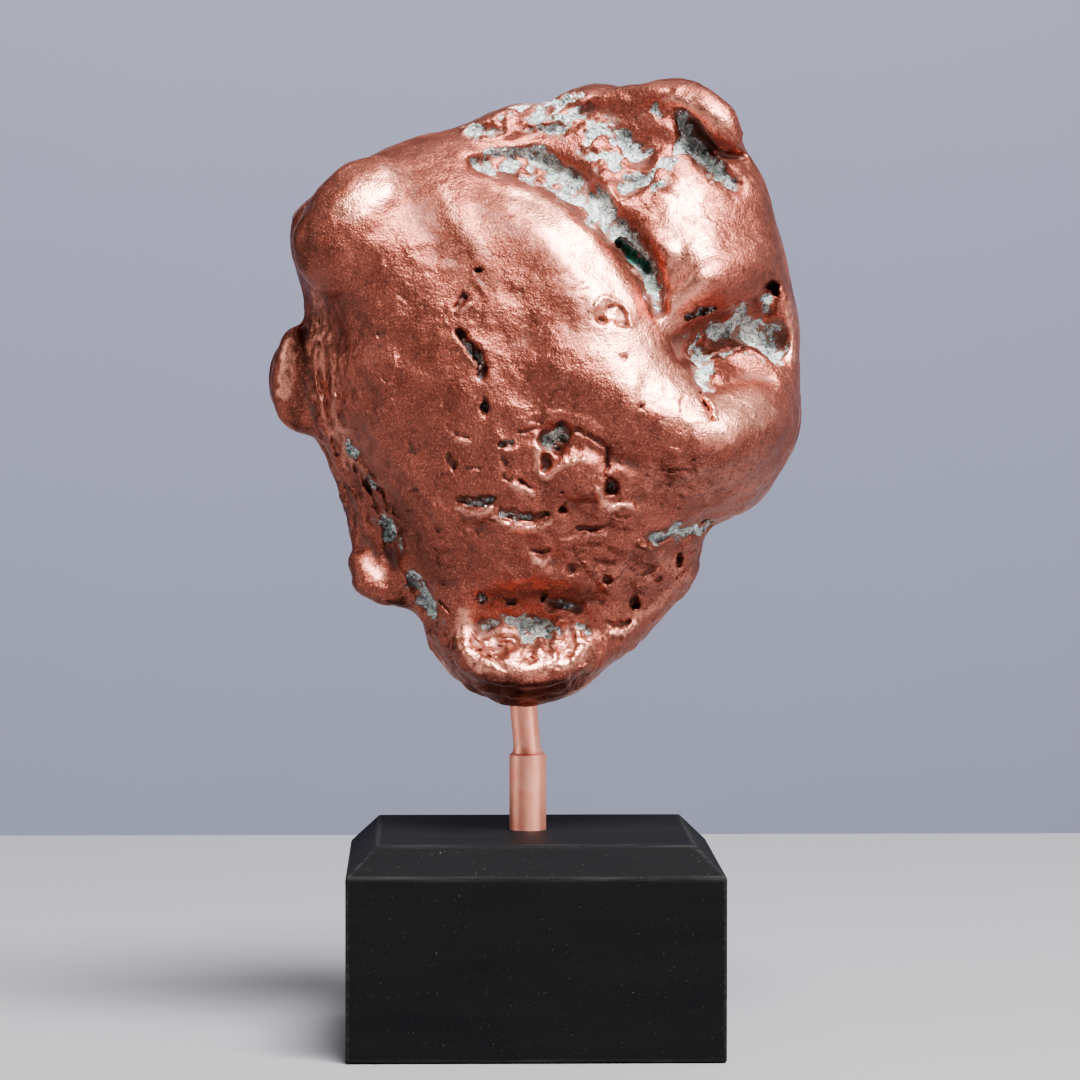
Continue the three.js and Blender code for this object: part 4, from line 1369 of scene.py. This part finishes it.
def build_stage(settings):
    """A pale table, a plain backdrop, soft lights and the camera."""
    depth = settings.table_back + TABLE_FRONT
    build_sheet(
        "table", (TABLE_WIDTH, depth),
        Matrix.Translation((0, settings.table_back - depth / 2, -TABLE_DROP)),
        plain_material("pale_table", settings.table, 0.55))
    build_sheet(
        "backdrop", WALL_SIZE, Matrix.Translation(WALL_PLACE) @ Matrix.Rotation(pi / 2, 4, "X"),
        plain_material("backdrop", settings.backdrop, 0.9))

    for name, place, size, power in (
            ("key", (0.27, -0.57, 1.02), (0.62, 0.44), settings.key_power),
            ("front", (0.35, -1.50, 0.48), (1.5, 1.0), settings.front_power),
            ("side_right", (0.88, -0.60, 0.35), (0.6, 0.8), settings.fill_power),
            ("rim_right", (0.95, 0.55, 0.40), (0.4, 0.8), settings.fill_power * 0.3),
            ("side_left", (-0.98, -0.17, 0.38), (0.4, 0.8), settings.fill_power * 0.52)):
        soft_light(name, place, NUGGET_MIDDLE, size, power)
    soft_light("backdrop_wash", (0, 0.9, 1.6), (0, 2.2, 0.4), (2.5, 0.6), settings.wash_power)

    world = bpy.data.worlds.new("studio")
    world.use_nodes = True
    sky = world.node_tree.nodes["Background"]
    sky.inputs["Color"].default_value = opaque(settings.room)
    sky.inputs["Strength"].default_value = settings.room_strength
    scene = bpy.context.scene
    scene.world = world
    scene.view_settings.view_transform = "AgX"
    scene.view_settings.look = "AgX - Medium High Contrast"

    data = bpy.data.cameras.new("camera")
    data.lens = settings.lens
    data.sensor_width = 36
    data.clip_end = 20
    camera = linked("camera", data)
    camera.location = CAMERA_PLACE
    camera.rotation_euler = (pi / 2 - CAMERA_DROP, 0, CAMERA_TURN)
    scene.camera = camera


# ---------------------------------------------------------------- settings


def length(name, text, default):
    """A size that a user can change, in metres."""
    return FloatProperty(name=name, description=text, default=default, unit="LENGTH", precision=5)


def colour(name, text, default):
    """A colour that a user can change."""
    return FloatVectorProperty(
        name=name, description=text, default=default, size=3, subtype="COLOR", min=0, max=1)


class NuggetSettings(bpy.types.PropertyGroup):
    """Sizes and colours of the nugget."""

    coarse_skin: length("Coarse skin", "Spacing of the skin that takes the big forms", 0.75 * MM)
    fine_skin: length("Fine skin", "Spacing of the skin that takes the pits", 0.42 * MM)
    most_triangles: IntProperty(
        name="Most triangles", description="The nugget is thinned to this many", default=192000)
    grain_size: length("Copper grain", "Size of the metal's fine grain", 0.34 * MM)
    grain_depth: length("Grain depth", "Depth of the metal's fine grain", 0.11 * MM)
    grain_count: IntProperty(
        name="Mineral grains", description="How many grains bed in the crust", default=5000)
    roughness: FloatProperty(
        name="Roughness", description="How dull the copper is", default=0.30, min=0, max=1)
    # The film's colour is also painted shade along its strokes.
    film_and_shade: colour("Film", "Where the brown film is thick", (0.13, 0.040, 0.027))
    copper_dull: colour("Dull copper", "Copper with a brown film", (0.25, 0.073, 0.051))
    copper: colour("Copper", "Bare copper", (0.36, 0.110, 0.078))
    # Painted highlight colour, laid along the rubbed strokes.
    worn_highlight_copper: colour("Worn copper", "Copper where it is rubbed bright", (0.74, 0.31, 0.225))
    # Painted glints: bright specks in the grain, besides the facets' own tone.
    glint_specks: colour("Sparkle", "Tiny bare facets of the copper", (0.80, 0.34, 0.25))
    patina: colour("Patina", "Brown tarnish in the hollows", (0.10, 0.047, 0.039))
    rim: colour("Rim", "Dull copper round the mineral", (0.24, 0.125, 0.10))
    oxide: colour("Oxide", "Red copper oxide", (0.30, 0.045, 0.022))


class PostSettings(bpy.types.PropertyGroup):
    """Sizes and colours of the pin."""

    barrel_radius: length("Barrel radius", "Radius of the thick part", 3.175 * MM)
    barrel_show: length("Barrel length", "Length of the barrel above the block", 13 * MM)
    shoulder_rise: length("Shoulder", "Height of the soft shoulder", 1.6 * MM)
    neck_radius: length("Neck radius", "Radius of the thin part", 2.35 * MM)
    lean: FloatProperty(
        name="Lean", description="How far the neck leans", default=radians(5), subtype="ANGLE")
    colour: colour("Copper", "Turned copper", (0.95, 0.37, 0.26))
    colour_worn: colour("Bright copper", "Turned copper where it shines", (0.98, 0.48, 0.37))


class BaseSettings(bpy.types.PropertyGroup):
    """Sizes and colours of the block."""

    bevel_rise: length("Bevel rise", "Height of the sloping band", 5.1 * MM)
    bevel_inset: length("Bevel inset", "Width of the sloping band from above", 5.1 * MM)
    edge_round: length("Edge rounding", "How far the sharp edges are eased", 0.3 * MM)
    hole_radius: length("Hole radius", "Radius of the pin's hole", 3.475 * MM)
    hole_gap: length("Hole gap", "Gap between the pin and its hole", 0.3 * MM)
    hole_depth: length("Hole depth", "Depth of the pin's hole", 15.3 * MM)
    paint: colour("Paint", "Black paint", (0.0078, 0.0078, 0.0086))
    paint_thin: colour("Thin paint", "Paint where the wood shows through", (0.0098, 0.0095, 0.0102))
    edge: colour("Worn edge", "Edges that have been rubbed", (0.034, 0.031, 0.031))


class StageSettings(bpy.types.PropertyGroup):
    """Table, backdrop, lights and camera."""

    table_back: length("Table back", "How far the table runs behind the block", 0.352)
    lens: FloatProperty(name="Lens", description="Focal length in millimetres", default=165)
    key_power: FloatProperty(name="Key light", description="Power in watts", default=52)
    front_power: FloatProperty(name="Front light", description="Power in watts", default=2.1)
    fill_power: FloatProperty(name="Side lights", description="Power in watts", default=5.0)
    wash_power: FloatProperty(name="Backdrop light", description="Power in watts", default=45)
    room_strength: FloatProperty(name="Room light", description="Strength", default=0.08)
    room: colour("Room", "Colour of the light from the room", (0.68, 0.68, 0.72))
    table: colour("Table", "Colour of the pale table", (0.25, 0.25, 0.26))
    backdrop: colour("Backdrop", "Colour of the backdrop", (0.33, 0.34, 0.45))


# ---------------------------------------------------------------- operators and panel


class NUGGET_OT_nugget(bpy.types.Operator):
    """Build the nugget and the mineral grains in its hollows"""

    bl_idname = "nugget.nugget"
    bl_label = "Nugget"

    def execute(self, context):
        build_nugget(context.scene.nugget_settings)
        return {"FINISHED"}


class NUGGET_OT_post(bpy.types.Operator):
    """Build the turned pin"""

    bl_idname = "nugget.post"
    bl_label = "Pin"

    def execute(self, context):
        build_post(context.scene.post_settings)
        return {"FINISHED"}


class NUGGET_OT_base(bpy.types.Operator):
    """Build the bevelled black block"""

    bl_idname = "nugget.base"
    bl_label = "Block"

    def execute(self, context):
        build_base(context.scene.base_settings)
        return {"FINISHED"}


class NUGGET_OT_stage(bpy.types.Operator):
    """Set up the table, backdrop, lights and camera"""

    bl_idname = "nugget.stage"
    bl_label = "Stage"

    def execute(self, context):
        build_stage(context.scene.stage_settings)
        return {"FINISHED"}


class NUGGET_PT_panel(bpy.types.Panel):
    """Lists the nugget's pieces"""

    bl_idname = "NUGGET_PT_panel"
    bl_label = "Copper nugget"
    bl_space_type = "VIEW_3D"
    bl_region_type = "UI"
    bl_category = "Nugget"

    def draw(self, context):
        for operator in OPERATORS:
            self.layout.operator(operator.bl_idname)


OPERATORS = (NUGGET_OT_nugget, NUGGET_OT_post, NUGGET_OT_base, NUGGET_OT_stage)
GROUPS = {
    "nugget_settings": NuggetSettings,
    "post_settings": PostSettings,
    "base_settings": BaseSettings,
    "stage_settings": StageSettings,
}
CLASSES = (*GROUPS.values(), *OPERATORS, NUGGET_PT_panel)


def register():
    for cls in CLASSES:
        bpy.utils.register_class(cls)
    for name, group in GROUPS.items():
        setattr(bpy.types.Scene, name, PointerProperty(type=group))


def unregister():
    for name in GROUPS:
        delattr(bpy.types.Scene, name)
    for cls in reversed(CLASSES):
        bpy.utils.unregister_class(cls)


def main():
    register()
    bpy.ops.nugget.nugget()
    bpy.ops.nugget.post()
    bpy.ops.nugget.base()
    bpy.ops.nugget.stage()


if __name__ == "__main__":
    main()
